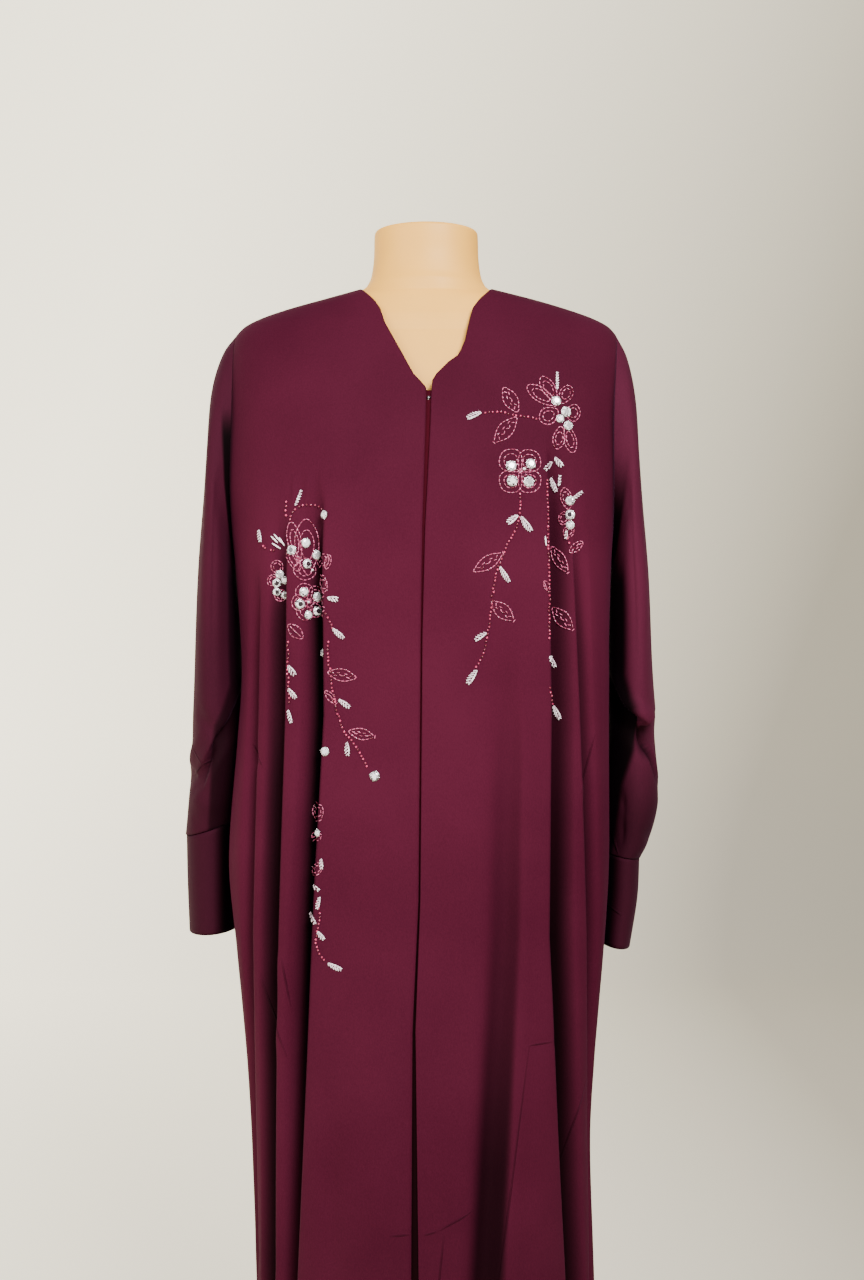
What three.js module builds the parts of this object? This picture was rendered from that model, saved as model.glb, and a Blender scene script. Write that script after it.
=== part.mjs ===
import * as THREE from "three";

// An abaya on a limbless dress form with a stand.
// Millimetres. The floor is Z = 0, the front faces -Y, and the wearer's left is +X.

// Cloth and seams
const wallThick = 1.6;
const seamGap = 0.3;
const sleeveSeamGap = 0.7;
const sleeveFullness = 1;
const hemHeight = 40;
const neckPointHeight = 1440;

// Armhole: an upright oval on each side, seen from the side
const armholeMiddle = 1283;
const armholeHalfHeight = 118.5;
const armholeHalfDepth = 60;
const armholeSteps = 8;

// Fineness of the cloth's curves and columns
const quarterSteps = 90;
const normalReach = 2;
const plainColumns = 3;
const columnReference = 1190;
const columnsAcrossFold = [-1, -0.5, 0, 0.5, 1];
const leastColumn = 1.2;
const foldsEnd = 1245;
const evenFrom = 1325;

// Form and stand
const formBottom = 880;
const formColumns = 28;
const formBelowRidge = 5;
const formShareStep = 0.04;
const formRiseStep = 3;
const neckTop = 1505;
const poleRadius = 14;
const baseRadius = 170;
const baseThick = 12;
const baseBevel = 3;
const roundSides = 32;

// Crystals and the snap
const crystalSides = 8;
const crystalRise = 0.55;
const crystalShoulder = 0.94;
const crystalTable = 0.5;
const seatGap = 0.35;
const leastArea = 1e-9;
const snapRadius = 2;
const snapThick = 1.2;
const snapHeight = 1318;

// Placket under the front opening
const placketHalfWidth = 15;
const placketTop = 1322;
const placketBottomGap = 2;
const placketGap = 0.8;
const placketColumns = 5;

// Level sections of the garment: half widths to the wearer's right and left,
// depths to the front and back, and the power of the oval.
const sections = [
  { z: 40, right: 183, left: 180, front: 165, back: 176, power: 2.3 },
  { z: 200, right: 179, left: 175, front: 156, back: 166, power: 2.3 },
  { z: 426, right: 173, left: 170, front: 142, back: 150, power: 2.4 },
  { z: 580, right: 177, left: 167, front: 132, back: 138, power: 2.5 },
  { z: 670, right: 183, left: 172, front: 127, back: 130, power: 2.6 },
  { z: 783, right: 196, left: 184, front: 120, back: 120, power: 2.8 },
  { z: 868, right: 203, left: 189, front: 116, back: 112, power: 2.9 },
  { z: 986, right: 194, left: 189, front: 113, back: 102, power: 2.9 },
  { z: 1045, right: 189, left: 188, front: 114, back: 100, power: 2.9 },
  { z: 1100, right: 190, left: 187, front: 116, back: 101, power: 2.9 },
  { z: 1165, right: 194, left: 188, front: 118, back: 104, power: 3 },
  { z: 1240, right: 202, left: 194, front: 113, back: 105, power: 3.1 },
  { z: 1300, right: 205, left: 198, front: 104, back: 101, power: 3.1 },
  { z: 1350, right: 204, left: 200, front: 92, back: 94, power: 3 },
  { z: 1385, right: 199, left: 198, front: 80, back: 86, power: 2.7 },
  { z: 1402, right: 189, left: 190, front: 73, back: 80, power: 2.4 },
  { z: 1412, right: 172, left: 174, front: 68, back: 76, power: 2.2 },
  { z: 1421, right: 145, left: 148, front: 64, back: 71, power: 2.2 },
  { z: 1430, right: 111, left: 116, front: 60, back: 66, power: 2.2 },
  { z: 1440, right: 73, left: 73, front: 55, back: 60, power: 2.2 },
];

// Inner edges of the fronts above the opening, and of the back above its middle strip,
// as distances from the middle
const backStrip = 10;
const backNeckHeight = 1421;
const neckline = [
  { z: 1329, right: 1.5, left: 3.5, back: backStrip },
  { z: 1341, right: 11, left: 9, back: backStrip },
  { z: 1354, right: 18, left: 21, back: backStrip },
  { z: 1362, right: 22, left: 32, back: backStrip },
  { z: 1377, right: 30, left: 38, back: backStrip },
  { z: 1396, right: 40, left: 42, back: backStrip },
  { z: 1412, right: 45, left: 46, back: backStrip },
  { z: backNeckHeight, right: 51, left: 52, back: backStrip },
  { z: 1430, right: 59, left: 60, back: 50 },
  { z: neckPointHeight, right: 68, left: 68, back: 67 },
];

// The front opening: its line drifts to the wearer's right, and gapes towards the hem
const opening = [
  { z: 40, line: -9, halfGap: 5 },
  { z: 475, line: -10, halfGap: 3.6 },
  { z: 716, line: -11, halfGap: 1.4 },
  { z: 837, line: -6, halfGap: 0.9 },
  { z: 1090, line: -4, halfGap: 0.9 },
  { z: 1190, line: -2, halfGap: 1.4 },
  { z: 1290, line: 2, halfGap: 2.4 },
  { z: 1329, line: 3, halfGap: 2.6 },
];

// Hanging folds: a recess with a narrow lip towards the middle and a wider slope outwards.
// place is the distance from the middle at five heights, depth is given at three.
const foldHeights = [40, 475, 801, 1013, 1200];
const depthHeights = [40, 475, 1013];
const folds = {
  frontRight: [
    { place: [134, 127, 112, 101, 102], depth: [40, 32, 19], lip: 9, slope: 22, starts: 1240 },
    { place: [158, 149, 144, 139, 136], depth: [30, 20, 11], lip: 8, slope: 18, starts: 1222 },
    { place: [180, 166, 171, 166, 163], depth: [20, 12, 8], lip: 8, slope: 16, starts: 1160 },
  ],
  frontLeft: [
    { place: [46, 59, 77, 81, 83], depth: [26, 14, 4], lip: 28, slope: 14, starts: 1085 },
    { place: [146, 139, 122, 125, 122], depth: [36, 28, 17], lip: 9, slope: 22, starts: 1285 },
    { place: [168, 160, 159, 152, 144], depth: [24, 15, 11], lip: 8, slope: 16, starts: 1205 },
  ],
  backRight: [
    { place: [44, 40, 36, 32, 30], depth: [30, 20, 7], lip: 20, slope: 24, starts: 1180 },
    { place: [104, 98, 92, 88, 86], depth: [38, 28, 15], lip: 12, slope: 24, starts: 1235 },
    { place: [158, 148, 145, 140, 136], depth: [30, 21, 12], lip: 10, slope: 20, starts: 1205 },
  ],
  backLeft: [
    { place: [56, 50, 44, 40, 38], depth: [28, 17, 6], lip: 22, slope: 20, starts: 1130 },
    { place: [112, 108, 100, 95, 92], depth: [36, 26, 14], lip: 12, slope: 26, starts: 1245 },
    { place: [160, 152, 150, 143, 140], depth: [28, 20, 10], lip: 10, slope: 18, starts: 1190 },
  ],
};

// The side is pressed in where the sleeve hangs
const sidePress = [
  { z: 40, depth: 18, frontReach: 34, backReach: 34 },
  { z: 426, depth: 12, frontReach: 36, backReach: 40 },
  { z: 670, depth: 14, frontReach: 48, backReach: 76 },
  { z: 783, depth: 18, frontReach: 58, backReach: 96 },
  { z: 868, depth: 18, frontReach: 58, backReach: 96 },
  { z: 986, depth: 13, frontReach: 56, backReach: 90 },
  { z: 1060, depth: 7, frontReach: 52, backReach: 80 },
  { z: 1130, depth: 0, frontReach: 50, backReach: 70 },
];
const foldFade = 90;
const hemSpread = 0.25;
const spreadFrom = 1000;
const spreadTo = 400;

// Rings of each hanging sleeve from the armhole down: the outer and inner points seen from
// the front, the half depth, and how far back the ring's middle lies.
const sleeveRings = {
  right: [
    { outX: 207, outZ: 1380, inX: 196, inZ: 1161, depth: 63, back: 0 },
    { outX: 218, outZ: 1345, inX: 196, inZ: 1156, depth: 67, back: 1 },
    { outX: 223, outZ: 1290, inX: 195.5, inZ: 1147, depth: 71, back: 2 },
    { outX: 227, outZ: 1228, inX: 194, inZ: 1131, depth: 73, back: 4 },
    { outX: 232, outZ: 1165, inX: 192, inZ: 1103, depth: 73, back: 6 },
    { outX: 237, outZ: 1085, inX: 190, inZ: 1058, depth: 71, back: 9 },
    { outX: 240, outZ: 1015, inX: 187, inZ: 1005, depth: 67, back: 12 },
    { outX: 241, outZ: 975, inX: 187, inZ: 975, depth: 64, back: 14 },
    { outX: 244, outZ: 932, inX: 190, inZ: 938, depth: 60, back: 15 },
  ],
  left: [
    { outX: 205, outZ: 1376, inX: 190.5, inZ: 1161, depth: 63, back: 0 },
    { outX: 213, outZ: 1338, inX: 190.5, inZ: 1156, depth: 67, back: 1 },
    { outX: 217, outZ: 1283, inX: 190, inZ: 1147, depth: 71, back: 2 },
    { outX: 221, outZ: 1222, inX: 189.5, inZ: 1131, depth: 73, back: 4 },
    { outX: 227, outZ: 1150, inX: 189, inZ: 1103, depth: 73, back: 6 },
    { outX: 232, outZ: 1068, inX: 188, inZ: 1052, depth: 71, back: 9 },
    { outX: 236, outZ: 1012, inX: 187, inZ: 1004, depth: 67, back: 13 },
    { outX: 236, outZ: 984, inX: 186, inZ: 972, depth: 62, back: 17 },
    { outX: 240, outZ: 922, inX: 184, inZ: 926, depth: 60, back: 18 },
    { outX: 231, outZ: 880, inX: 183, inZ: 888, depth: 55, back: 19 },
  ],
};
const cuffRings = {
  right: [
    { outX: 248, outZ: 884, inX: 194, inZ: 900, depth: 53, back: 16 },
    { outX: 247, outZ: 836, inX: 193.5, inZ: 844, depth: 52, back: 16 },
    { outX: 245, outZ: 787, inX: 194, inZ: 789, depth: 52, back: 16 },
  ],
  left: [
    { outX: 221, outZ: 861, inX: 181, inZ: 868, depth: 53, back: 19 },
    { outX: 219, outZ: 820, inX: 179, inZ: 824, depth: 52, back: 19 },
    { outX: 211, outZ: 771, inX: 176, inZ: 776, depth: 52, back: 19 },
  ],
};

// Clearance of the form under the cloth, measured inwards, by height
const formClearance = [
  { z: 880, gap: 44 },
  { z: 960, gap: 38 },
  { z: 1060, gap: 32 },
  { z: 1165, gap: 24 },
  { z: 1240, gap: 15 },
  { z: 1300, gap: 8 },
  { z: 1360, gap: 5 },
  { z: 1395, gap: 4 },
  { z: 1412, gap: 0.8 },
  { z: 1440, gap: 0.8 },
];
const formHeights = [
  880, 888, 930, 990, 1060, 1130, 1200, 1260, 1315, 1355, 1385, 1402, 1412, 1421, 1430, 1440,
];
const neckRings = [
  { z: 1446, half: 62, front: 51, back: 58 },
  { z: 1456, half: 57, front: 47, back: 55 },
  { z: 1475, half: 54, front: 44, back: 53 },
  { z: neckTop - 4, half: 53, front: 43, back: 53 },
  { z: neckTop, half: 49, front: 39, back: 49 },
];

// Crystals sewn on the fronts: place seen from the front, and diameter
const crystals = [
  { panel: "left", x: 126, z: 1316, size: 9.5 },
  { panel: "left", x: 135.5, z: 1305.5, size: 10 },
  { panel: "left", x: 129.5, z: 1298.5, size: 8 },
  { panel: "left", x: 137.5, z: 1292, size: 9 },
  { panel: "left", x: 81.5, z: 1251, size: 10 },
  { panel: "left", x: 100.5, z: 1253.5, size: 9.5 },
  { panel: "left", x: 82.5, z: 1236.5, size: 10 },
  { panel: "left", x: 98.5, z: 1236, size: 10 },
  { panel: "left", x: 139, z: 1219, size: 8.5 },
  { panel: "left", x: 139, z: 1205.5, size: 9 },
  { panel: "left", x: 139, z: 1195.5, size: 8 },
  { panel: "right", x: -96.5, z: 1204.5, size: 8 },
  { panel: "right", x: -128, z: 1171, size: 9 },
  { panel: "right", x: -115, z: 1178, size: 9 },
  { panel: "right", x: -105.5, z: 1167, size: 9 },
  { panel: "right", x: -114, z: 1158, size: 9 },
  { panel: "right", x: -141, z: 1148.5, size: 8 },
  { panel: "right", x: -144, z: 1140, size: 8 },
  { panel: "right", x: -136, z: 1143, size: 7.5 },
  { panel: "right", x: -117, z: 1131, size: 9 },
  { panel: "right", x: -105, z: 1126.5, size: 9 },
  { panel: "right", x: -120.5, z: 1119.5, size: 9 },
  { panel: "right", x: -105, z: 1113, size: 9 },
  { panel: "right", x: -113, z: 1109, size: 8 },
  { panel: "right", x: -98.5, z: 1072.5, size: 7.5 },
  { panel: "right", x: -95.5, z: 978.5, size: 8 },
  { panel: "right", x: -48.5, z: 955.5, size: 9 },
  { panel: "right", x: -144, z: 1131.5, size: 7.5 },
  { panel: "right", x: -136, z: 1128.5, size: 7.5 },
  { panel: "right", x: -102.5, z: 900.5, size: 7 },
];

// Colours
const clothRoughness = 0.82;
const clothColour = 0x651b30;
const sleeveColour = 0x5a2233;
const placketColour = 0x560e22;
const formColour = 0xe8c79a;
const steelColour = 0xb9bbbd;
const baseColour = 0xd8d6d1;
const crystalColour = 0xeee6ea;

// Cubic curve through a table's rows, sorted by height
function smooth(table, key, z) {
  const last = table.length - 1;
  if (z <= table[0].z) return table[0][key];
  if (z >= table[last].z) return table[last][key];
  let i = 0;
  while (table[i + 1].z < z) i += 1;
  const slopeAt = (k) => {
    const below = table[Math.max(k - 1, 0)];
    const above = table[Math.min(k + 1, last)];
    return (above[key] - below[key]) / (above.z - below.z);
  };
  const height = table[i + 1].z - table[i].z;
  const t = (z - table[i].z) / height;
  const start = table[i][key];
  const rise = table[i + 1][key] - start;
  const tangents = (slopeAt(i) * (1 - t) - slopeAt(i + 1) * t) * height;
  return start + rise * t * t * (3 - 2 * t) + tangents * t * (1 - t);
}

// Straight lines through the values given at the heights
function between(heights, values, z) {
  if (z <= heights[0]) return values[0];
  let i = 0;
  while (i < heights.length - 2 && heights[i + 1] < z) i += 1;
  const t = Math.min((z - heights[i]) / (heights[i + 1] - heights[i]), 1);
  return values[i] + (values[i + 1] - values[i]) * t;
}

function straight(table, key, z) {
  return between(table.map((row) => row.z), table.map((row) => row[key]), z);
}

function softStep(from, to, value) {
  const t = Math.min(Math.max((value - from) / (to - from), 0), 1);
  return t * t * (3 - 2 * t);
}

// A quarter of a level section, from the middle to the side, measured along the cloth
function quarter(side, face, z) {
  const half = smooth(sections, side < 0 ? "right" : "left", z);
  const depth = smooth(sections, face < 0 ? "front" : "back", z);
  const power = 2 / smooth(sections, "power", z);
  const xs = [];
  const ys = [];
  const arcs = [0];
  for (let i = 0; i <= quarterSteps; i += 1) {
    const angle = (i / quarterSteps) * Math.PI * 0.5;
    xs.push(half * Math.sin(angle) ** power);
    ys.push(i === quarterSteps ? 0 : depth * Math.cos(angle) ** power);
    if (i > 0) arcs.push(arcs[i - 1] + Math.hypot(xs[i] - xs[i - 1], ys[i] - ys[i - 1]));
  }
  const length = arcs[quarterSteps];
  const arcAtX = (x) => between(xs, arcs, x);
  const arcAtY = (y) => between([...ys].reverse(), [...arcs].reverse(), y);
  const place = (arc) => (arc < 0 ? [arc, depth] : [between(arcs, xs, arc), between(arcs, ys, arc)]);
  return { side, face, z, length, arcAtX, arcAtY, place };
}

function foldList(side, face) {
  if (face < 0) return side < 0 ? folds.frontRight : folds.frontLeft;
  return side < 0 ? folds.backRight : folds.backLeft;
}

function foldArc(section, fold) {
  return section.arcAtX(between(foldHeights, fold.place, section.z));
}

// Depth of a fold at a height: it fades in below its start and deepens towards the hem
function foldDepth(fold, z) {
  const fade = softStep(fold.starts, fold.starts - foldFade, z);
  return fade * between(depthHeights, fold.depth, z);
}

// Folds widen a little towards the hem
function foldSpread(z) {
  return 1 + hemSpread * softStep(spreadFrom, spreadTo, z);
}

function dent(t) {
  return Math.abs(t) >= 1 ? 0 : 0.5 + 0.5 * Math.cos(Math.PI * t);
}

// A point of the cloth's outer face: the section's point moved inwards by the folds
function clothPoint(section, arc) {
  const { side, face, z, length } = section;
  const [x0, y0] = section.place(arc - normalReach);
  const [x1, y1] = section.place(Math.min(arc + normalReach, length));
  const run = Math.hypot(x1 - x0, y1 - y0);
  const normal = [(y0 - y1) / run, (x1 - x0) / run];
  let depth = 0;
  for (const fold of foldList(side, face)) {
    const offset = arc - foldArc(section, fold);
    const width = (offset < 0 ? fold.lip : fold.slope) * foldSpread(z);
    depth += foldDepth(fold, z) * dent(offset / width);
  }
  const reach = smooth(sidePress, face < 0 ? "frontReach" : "backReach", z);
  depth += smooth(sidePress, "depth", z) * dent((length - arc) / reach);
  const [x, y] = section.place(arc);
  return [side * (x - normal[0] * depth), face * (y - normal[1] * depth), z];
}

// The front's and back's limits along a section, towards the middle and towards the side
function innerArc(section) {
  const { side, face, z } = section;
  if (face > 0) return section.arcAtX(straight(neckline, "back", z));
  if (z >= neckline[0].z) return section.arcAtX(straight(neckline, side < 0 ? "right" : "left", z));
  const edge = straight(opening, "line", z) + side * straight(opening, "halfGap", z);
  return side * edge;
}

function outerArc(section) {
  const rise = (section.z - armholeMiddle) / armholeHalfHeight;
  if (Math.abs(rise) >= 1) return section.length - seamGap / 2;
  const armhole = armholeHalfDepth * Math.sqrt(1 - rise * rise);
  return section.arcAtY(Math.max(armhole, seamGap / 2));
}

// Column places: plain cloth from the middle, then five across each fold, then the side.
// Above the folds they spread evenly between the panel's two edges.
function foldColumns(section) {
  const start = innerArc(section);
  const end = outerArc(section);
  const places = [];
  for (const fold of foldList(section.side, section.face)) {
    const arc = foldArc(section, fold);
    const spread = foldSpread(section.z);
    for (const t of columnsAcrossFold) {
      places.push(arc + t * (t < 0 ? fold.lip : fold.slope) * spread);
    }
  }
  const first = places[0];
  const plain = [];
  for (let i = 0; i < plainColumns; i += 1) plain.push(start + ((first - start) * i) / plainColumns);
  const last = places[places.length - 1];
  const columns = [...plain, ...places, (last + end) / 2, end];
  for (let i = columns.length - 2; i > 0; i -= 1) {
    columns[i] = Math.min(columns[i], columns[i + 1] - leastColumn);
  }
  for (let i = 1; i < columns.length - 1; i += 1) {
    columns[i] = Math.max(columns[i], columns[i - 1] + leastColumn / 2);
  }
  return columns;
}

function columnArcs(side, face, z) {
  const section = quarter(side, face, z);
  const reference = foldColumns(quarter(side, face, columnReference));
  const start = reference[0];
  const end = reference[reference.length - 1];
  const evenly = softStep(foldsEnd, evenFrom, z);
  const from = innerArc(section);
  const to = outerArc(section);
  const byFold = evenly < 1 ? foldColumns(section) : reference;
  return reference.map((arc, i) => {
    const spread = from + ((arc - start) / (end - start)) * (to - from);
    return byFold[i] * (1 - evenly) + spread * evenly;
  });
}

// Row heights: the hem to the underarm, the armhole's own steps, then the shoulder
const skirtRows = [hemHeight, 200, 360, 500, 620, 740, 850, 950, 1040, 1110];
const shoulderRows = [1412, 1421, 1430, neckPointHeight];
const armholeRows = [];
for (let i = 0; i <= armholeSteps; i += 1) {
  const angle = Math.PI * (1 - i / armholeSteps);
  armholeRows.push(armholeMiddle + armholeHalfHeight * Math.cos(angle));
}
const rows = [...skirtRows, ...armholeRows, ...shoulderRows];

// Normals of a grid of points from its neighbours across and along
function gridNormals(grid, closed) {
  const height = grid.length;
  const width = grid[0].length;
  return grid.map((line, r) => line.map((point, c) => {
    const left = closed ? line[(c + width - 1) % width] : line[Math.max(c - 1, 0)];
    const right = closed ? line[(c + 1) % width] : line[Math.min(c + 1, width - 1)];
    const below = grid[Math.max(r - 1, 0)][c];
    const above = grid[Math.min(r + 1, height - 1)][c];
    const across = new THREE.Vector3(...right).sub(new THREE.Vector3(...left));
    const along = new THREE.Vector3(...above).sub(new THREE.Vector3(...below));
    const normal = across.cross(along);
    const onSideSeam = Math.abs(point[1]) <= seamGap;
    if (onSideSeam && !closed) normal.y = 0;
    return normal.normalize();
  }));
}

function offsetGrid(grid, normals, distance) {
  return grid.map((line, r) => line.map((point, c) => {
    const moved = new THREE.Vector3(...point).addScaledVector(normals[r][c], distance);
    return moved.toArray();
  }));
}

// A mesh from points and triangles
function solid(name, points, faces, material) {
  const geometry = new THREE.BufferGeometry();
  geometry.setAttribute("position", new THREE.Float32BufferAttribute(points.flat(), 3));
  geometry.setIndex(faces.flat());
  geometry.computeVertexNormals();
  const mesh = new THREE.Mesh(geometry, material);
  mesh.name = name;
  return mesh;
}

// A closed wall between an outer grid, whose normals point out, and its copy moved inwards.
// A closed grid runs round a tube. A rim closes each edge that has no cell beyond it.
function wallSolid(name, outer, inner, closed, material, hasCell = () => true) {
  const height = outer.length;
  const width = outer[0].length;
  const spans = closed ? width : width - 1;
  const points = [...outer.flat(), ...inner.flat()];
  const index = (layer, r, c) => layer * height * width + r * width + (c % width);
  const faces = [];
  const quad = (a, b, c, d) => faces.push([a, b, c], [a, c, d]);
  const filled = (r, c) => {
    if (r < 0 || r >= height - 1) return false;
    if (!closed && (c < 0 || c >= spans)) return false;
    return hasCell(r, (c + spans) % spans);
  };
  const rim = (r0, c0, r1, c1) => {
    quad(index(0, r0, c0), index(1, r0, c0), index(1, r1, c1), index(0, r1, c1));
  };
  for (let r = 0; r < height - 1; r += 1) {
    for (let c = 0; c < spans; c += 1) {
      if (!filled(r, c)) continue;
      quad(index(0, r, c), index(0, r, c + 1), index(0, r + 1, c + 1), index(0, r + 1, c));
      quad(index(1, r, c), index(1, r + 1, c), index(1, r + 1, c + 1), index(1, r, c + 1));
      if (!filled(r - 1, c)) rim(r, c, r, c + 1);
      if (!filled(r + 1, c)) rim(r + 1, c + 1, r + 1, c);
      if (!filled(r, c - 1)) rim(r + 1, c, r, c);
      if (!filled(r, c + 1)) rim(r, c + 1, r + 1, c + 1);
    }
  }
  return solid(name, points, faces, material);
}

function finish(color, roughness, metalness = 0) {
  return new THREE.MeshStandardMaterial({ color, roughness, metalness });
}

const object = new THREE.Group();
object.name = "abaya_on_dress_form";
const panelGrids = {};

// Fronts and back
function halfGrid(side, face) {
  return rows.map((z) => {
    const section = quarter(side, face, z);
    return columnArcs(side, face, z).map((arc) => clothPoint(section, arc));
  });
}

function signedHalf(side, face) {
  const grid = halfGrid(side, face);
  const runsRight = (side > 0) === (face < 0);
  return runsRight ? grid : grid.map((line) => [...line].reverse());
}

function addFront(name, side) {
  const grid = signedHalf(side, -1);
  const inner = offsetGrid(grid, gridNormals(grid, false), -wallThick);
  panelGrids[name] = grid;
  object.add(wallSolid(name, grid, inner, false, finish(clothColour, clothRoughness)));
}

addFront("front_right", -1);
addFront("front_left", 1);

// The back runs from the wearer's left side seam to the right one. Above the neckline's
// lowest point its middle strip is left out.
function addBack() {
  const leftHalf = signedHalf(1, 1);
  const rightHalf = signedHalf(-1, 1);
  const grid = leftHalf.map((line, r) => [...line, ...rightHalf[r]]);
  const middle = leftHalf[0].length - 1;
  const hasCell = (r, c) => c !== middle || rows[r] < backNeckHeight;
  const inner = offsetGrid(grid, gridNormals(grid, false), -wallThick);
  object.add(wallSolid("back", grid, inner, false, finish(clothColour, clothRoughness), hasCell));
}

addBack();

// A ring of a sleeve: an oval between its inner and outer points, seen from the front
function sleeveRing(side, ring) {
  const points = [];
  for (let j = 0; j < 2 * armholeSteps; j += 1) {
    const angle = (Math.PI * j) / armholeSteps;
    const out = (1 + Math.cos(angle)) / 2;
    const x = ring.inX + (ring.outX - ring.inX) * out;
    const z = ring.inZ + (ring.outZ - ring.inZ) * out;
    points.push([side * x, ring.back - side * ring.depth * Math.sin(angle), z]);
  }
  return points;
}

// The sleeve's first ring follows the armhole's edge, a seam's gap outside it
function armholeRing(side) {
  const points = [];
  for (let j = 0; j < 2 * armholeSteps; j += 1) {
    const angle = (Math.PI * j) / armholeSteps;
    const face = -side * Math.sin(angle) > 0 ? 1 : -1;
    const z = armholeMiddle + armholeHalfHeight * Math.cos(angle);
    const section = quarter(side, face, z);
    const [x, y] = clothPoint(section, outerArc(section));
    const onSeam = j % armholeSteps === 0;
    const inwards = 1 - sleeveSeamGap / armholeHalfHeight;
    const height = armholeMiddle + (z - armholeMiddle) * inwards;
    points.push([x + side * sleeveSeamGap, onSeam ? 0 : y * inwards, height]);
  }
  return points;
}

function tube(name, grid, material) {
  const inner = offsetGrid(grid, gridNormals(grid, true), -wallThick);
  object.add(wallSolid(name, grid, inner, true, material));
}

function addSleeve(wearer, side) {
  const cuffTop = cuffRings[wearer][0];
  const sleeveEnd = {
    ...cuffTop,
    outX: cuffTop.outX + sleeveFullness,
    outZ: cuffTop.outZ + sleeveSeamGap,
    inZ: cuffTop.inZ + sleeveSeamGap,
  };
  const rings = [...sleeveRings[wearer], sleeveEnd].map((ring) => sleeveRing(side, ring));
  tube(`sleeve_${wearer}`, [armholeRing(side), ...rings], finish(sleeveColour, clothRoughness));
  const cuff = cuffRings[wearer].map((ring) => sleeveRing(side, ring));
  tube(`cuff_${wearer}`, cuff, finish(sleeveColour, clothRoughness));
}

addSleeve("right", -1);
addSleeve("left", 1);

// Placket: a strip behind both fronts' edges, made from their points, moved in
function addPlacket() {
  const inner = rows.filter((z) => z > hemHeight && z < placketTop);
  const heights = [hemHeight + placketBottomGap, ...inner, placketTop];
  const grid = heights.map((z) => {
    const line = straight(opening, "line", z);
    const points = [];
    for (let c = 0; c < placketColumns; c += 1) {
      const x = line + placketHalfWidth * ((2 * c) / (placketColumns - 1) - 1);
      const side = x < 0 ? -1 : 1;
      const section = quarter(side, -1, z);
      points.push(clothPoint(section, Math.abs(x)));
    }
    return points;
  });
  const normals = gridNormals(grid, false);
  const outer = offsetGrid(grid, normals, -wallThick - placketGap);
  const back = offsetGrid(grid, normals, -2 * wallThick - placketGap);
  object.add(wallSolid("placket", outer, back, false, finish(placketColour, 0.85)));
  return outer;
}

const placketGrid = addPlacket();

// The front-most point of a grid of facets at a place seen from the front, with its normal
function facetAt(grid, x, z) {
  let best = null;
  const test = (a, b, c) => {
    const area = (b[0] - a[0]) * (c[2] - a[2]) - (c[0] - a[0]) * (b[2] - a[2]);
    if (Math.abs(area) < leastArea) return;
    const u = ((x - a[0]) * (c[2] - a[2]) - (c[0] - a[0]) * (z - a[2])) / area;
    const v = ((b[0] - a[0]) * (z - a[2]) - (x - a[0]) * (b[2] - a[2])) / area;
    if (u < 0 || v < 0 || u + v > 1) return;
    const y = a[1] + u * (b[1] - a[1]) + v * (c[1] - a[1]);
    if (best && best.y <= y) return;
    const normal = new THREE.Vector3(...b).sub(new THREE.Vector3(...a));
    normal.cross(new THREE.Vector3(...c).sub(new THREE.Vector3(...a))).normalize();
    best = { y, normal };
  };
  for (let r = 0; r < grid.length - 1; r += 1) {
    for (let c = 0; c < grid[0].length - 1; c += 1) {
      test(grid[r][c], grid[r][c + 1], grid[r + 1][c + 1]);
      test(grid[r][c], grid[r + 1][c + 1], grid[r + 1][c]);
    }
  }
  return best;
}

// Rings of points round an axis, closed at both ends by a fan
function stack(name, rings, material) {
  const count = rings[0].length;
  const middle = (ring) => ring[0].map((_, k) => ring.reduce((sum, p) => sum + p[k], 0) / count);
  const points = [...rings.flat(), middle(rings[0]), middle(rings[rings.length - 1])];
  const faces = [];
  for (let r = 0; r < rings.length - 1; r += 1) {
    for (let c = 0; c < count; c += 1) {
      const next = (c + 1) % count;
      const [a, b] = [r * count + c, r * count + next];
      faces.push([a, b, b + count], [a, b + count, a + count]);
    }
  }
  const top = (rings.length - 1) * count;
  for (let c = 0; c < count; c += 1) {
    const next = (c + 1) % count;
    faces.push([next, c, rings.length * count], [top + c, top + next, rings.length * count + 1]);
  }
  return solid(name, points, faces, material);
}

// A low round piece standing out of the cloth: rings of a radius at a height above its seat
function seated(name, grid, piece, profile, sides, material) {
  const { normal } = facetAt(grid, piece.x, piece.z);
  const across = new THREE.Vector3(0, 0, 1).cross(normal).normalize();
  const up = normal.clone().cross(across);
  const ring = ({ radius, rise }) => {
    const points = [];
    for (let k = 0; k < sides; k += 1) {
      const angle = (2 * Math.PI * k) / sides;
      const point = new THREE.Vector3(piece.x, facetAt(grid, piece.x, piece.z).y, piece.z);
      point.addScaledVector(across, radius * Math.cos(angle));
      point.addScaledVector(up, radius * Math.sin(angle));
      points.push(point.addScaledVector(normal, rise).toArray());
    }
    return points;
  };
  const rings = profile.map(ring);
  const clear = rings[0].map(([x, y, z]) => {
    const facet = facetAt(grid, x, z);
    return facet ? y - facet.y : 0;
  });
  const lift = Math.max(0, ...clear) + seatGap;
  const lifted = rings.map((points) => points.map(([x, y, z]) => [x, y - lift, z]));
  return stack(name, lifted, material);
}

function addCrystals() {
  crystals.forEach((crystal, i) => {
    const radius = crystal.size / 2;
    const profile = [
      { radius, rise: 0 },
      { radius: radius * crystalShoulder, rise: (radius * crystalRise) / 2 },
      { radius: radius * crystalTable, rise: radius * crystalRise },
    ];
    const name = `crystal_${crystal.panel}_${i + 1}`;
    const grid = panelGrids[`front_${crystal.panel}`];
    object.add(seated(name, grid, crystal, profile, crystalSides, finish(crystalColour, 0.1)));
  });
}

addCrystals();

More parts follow.
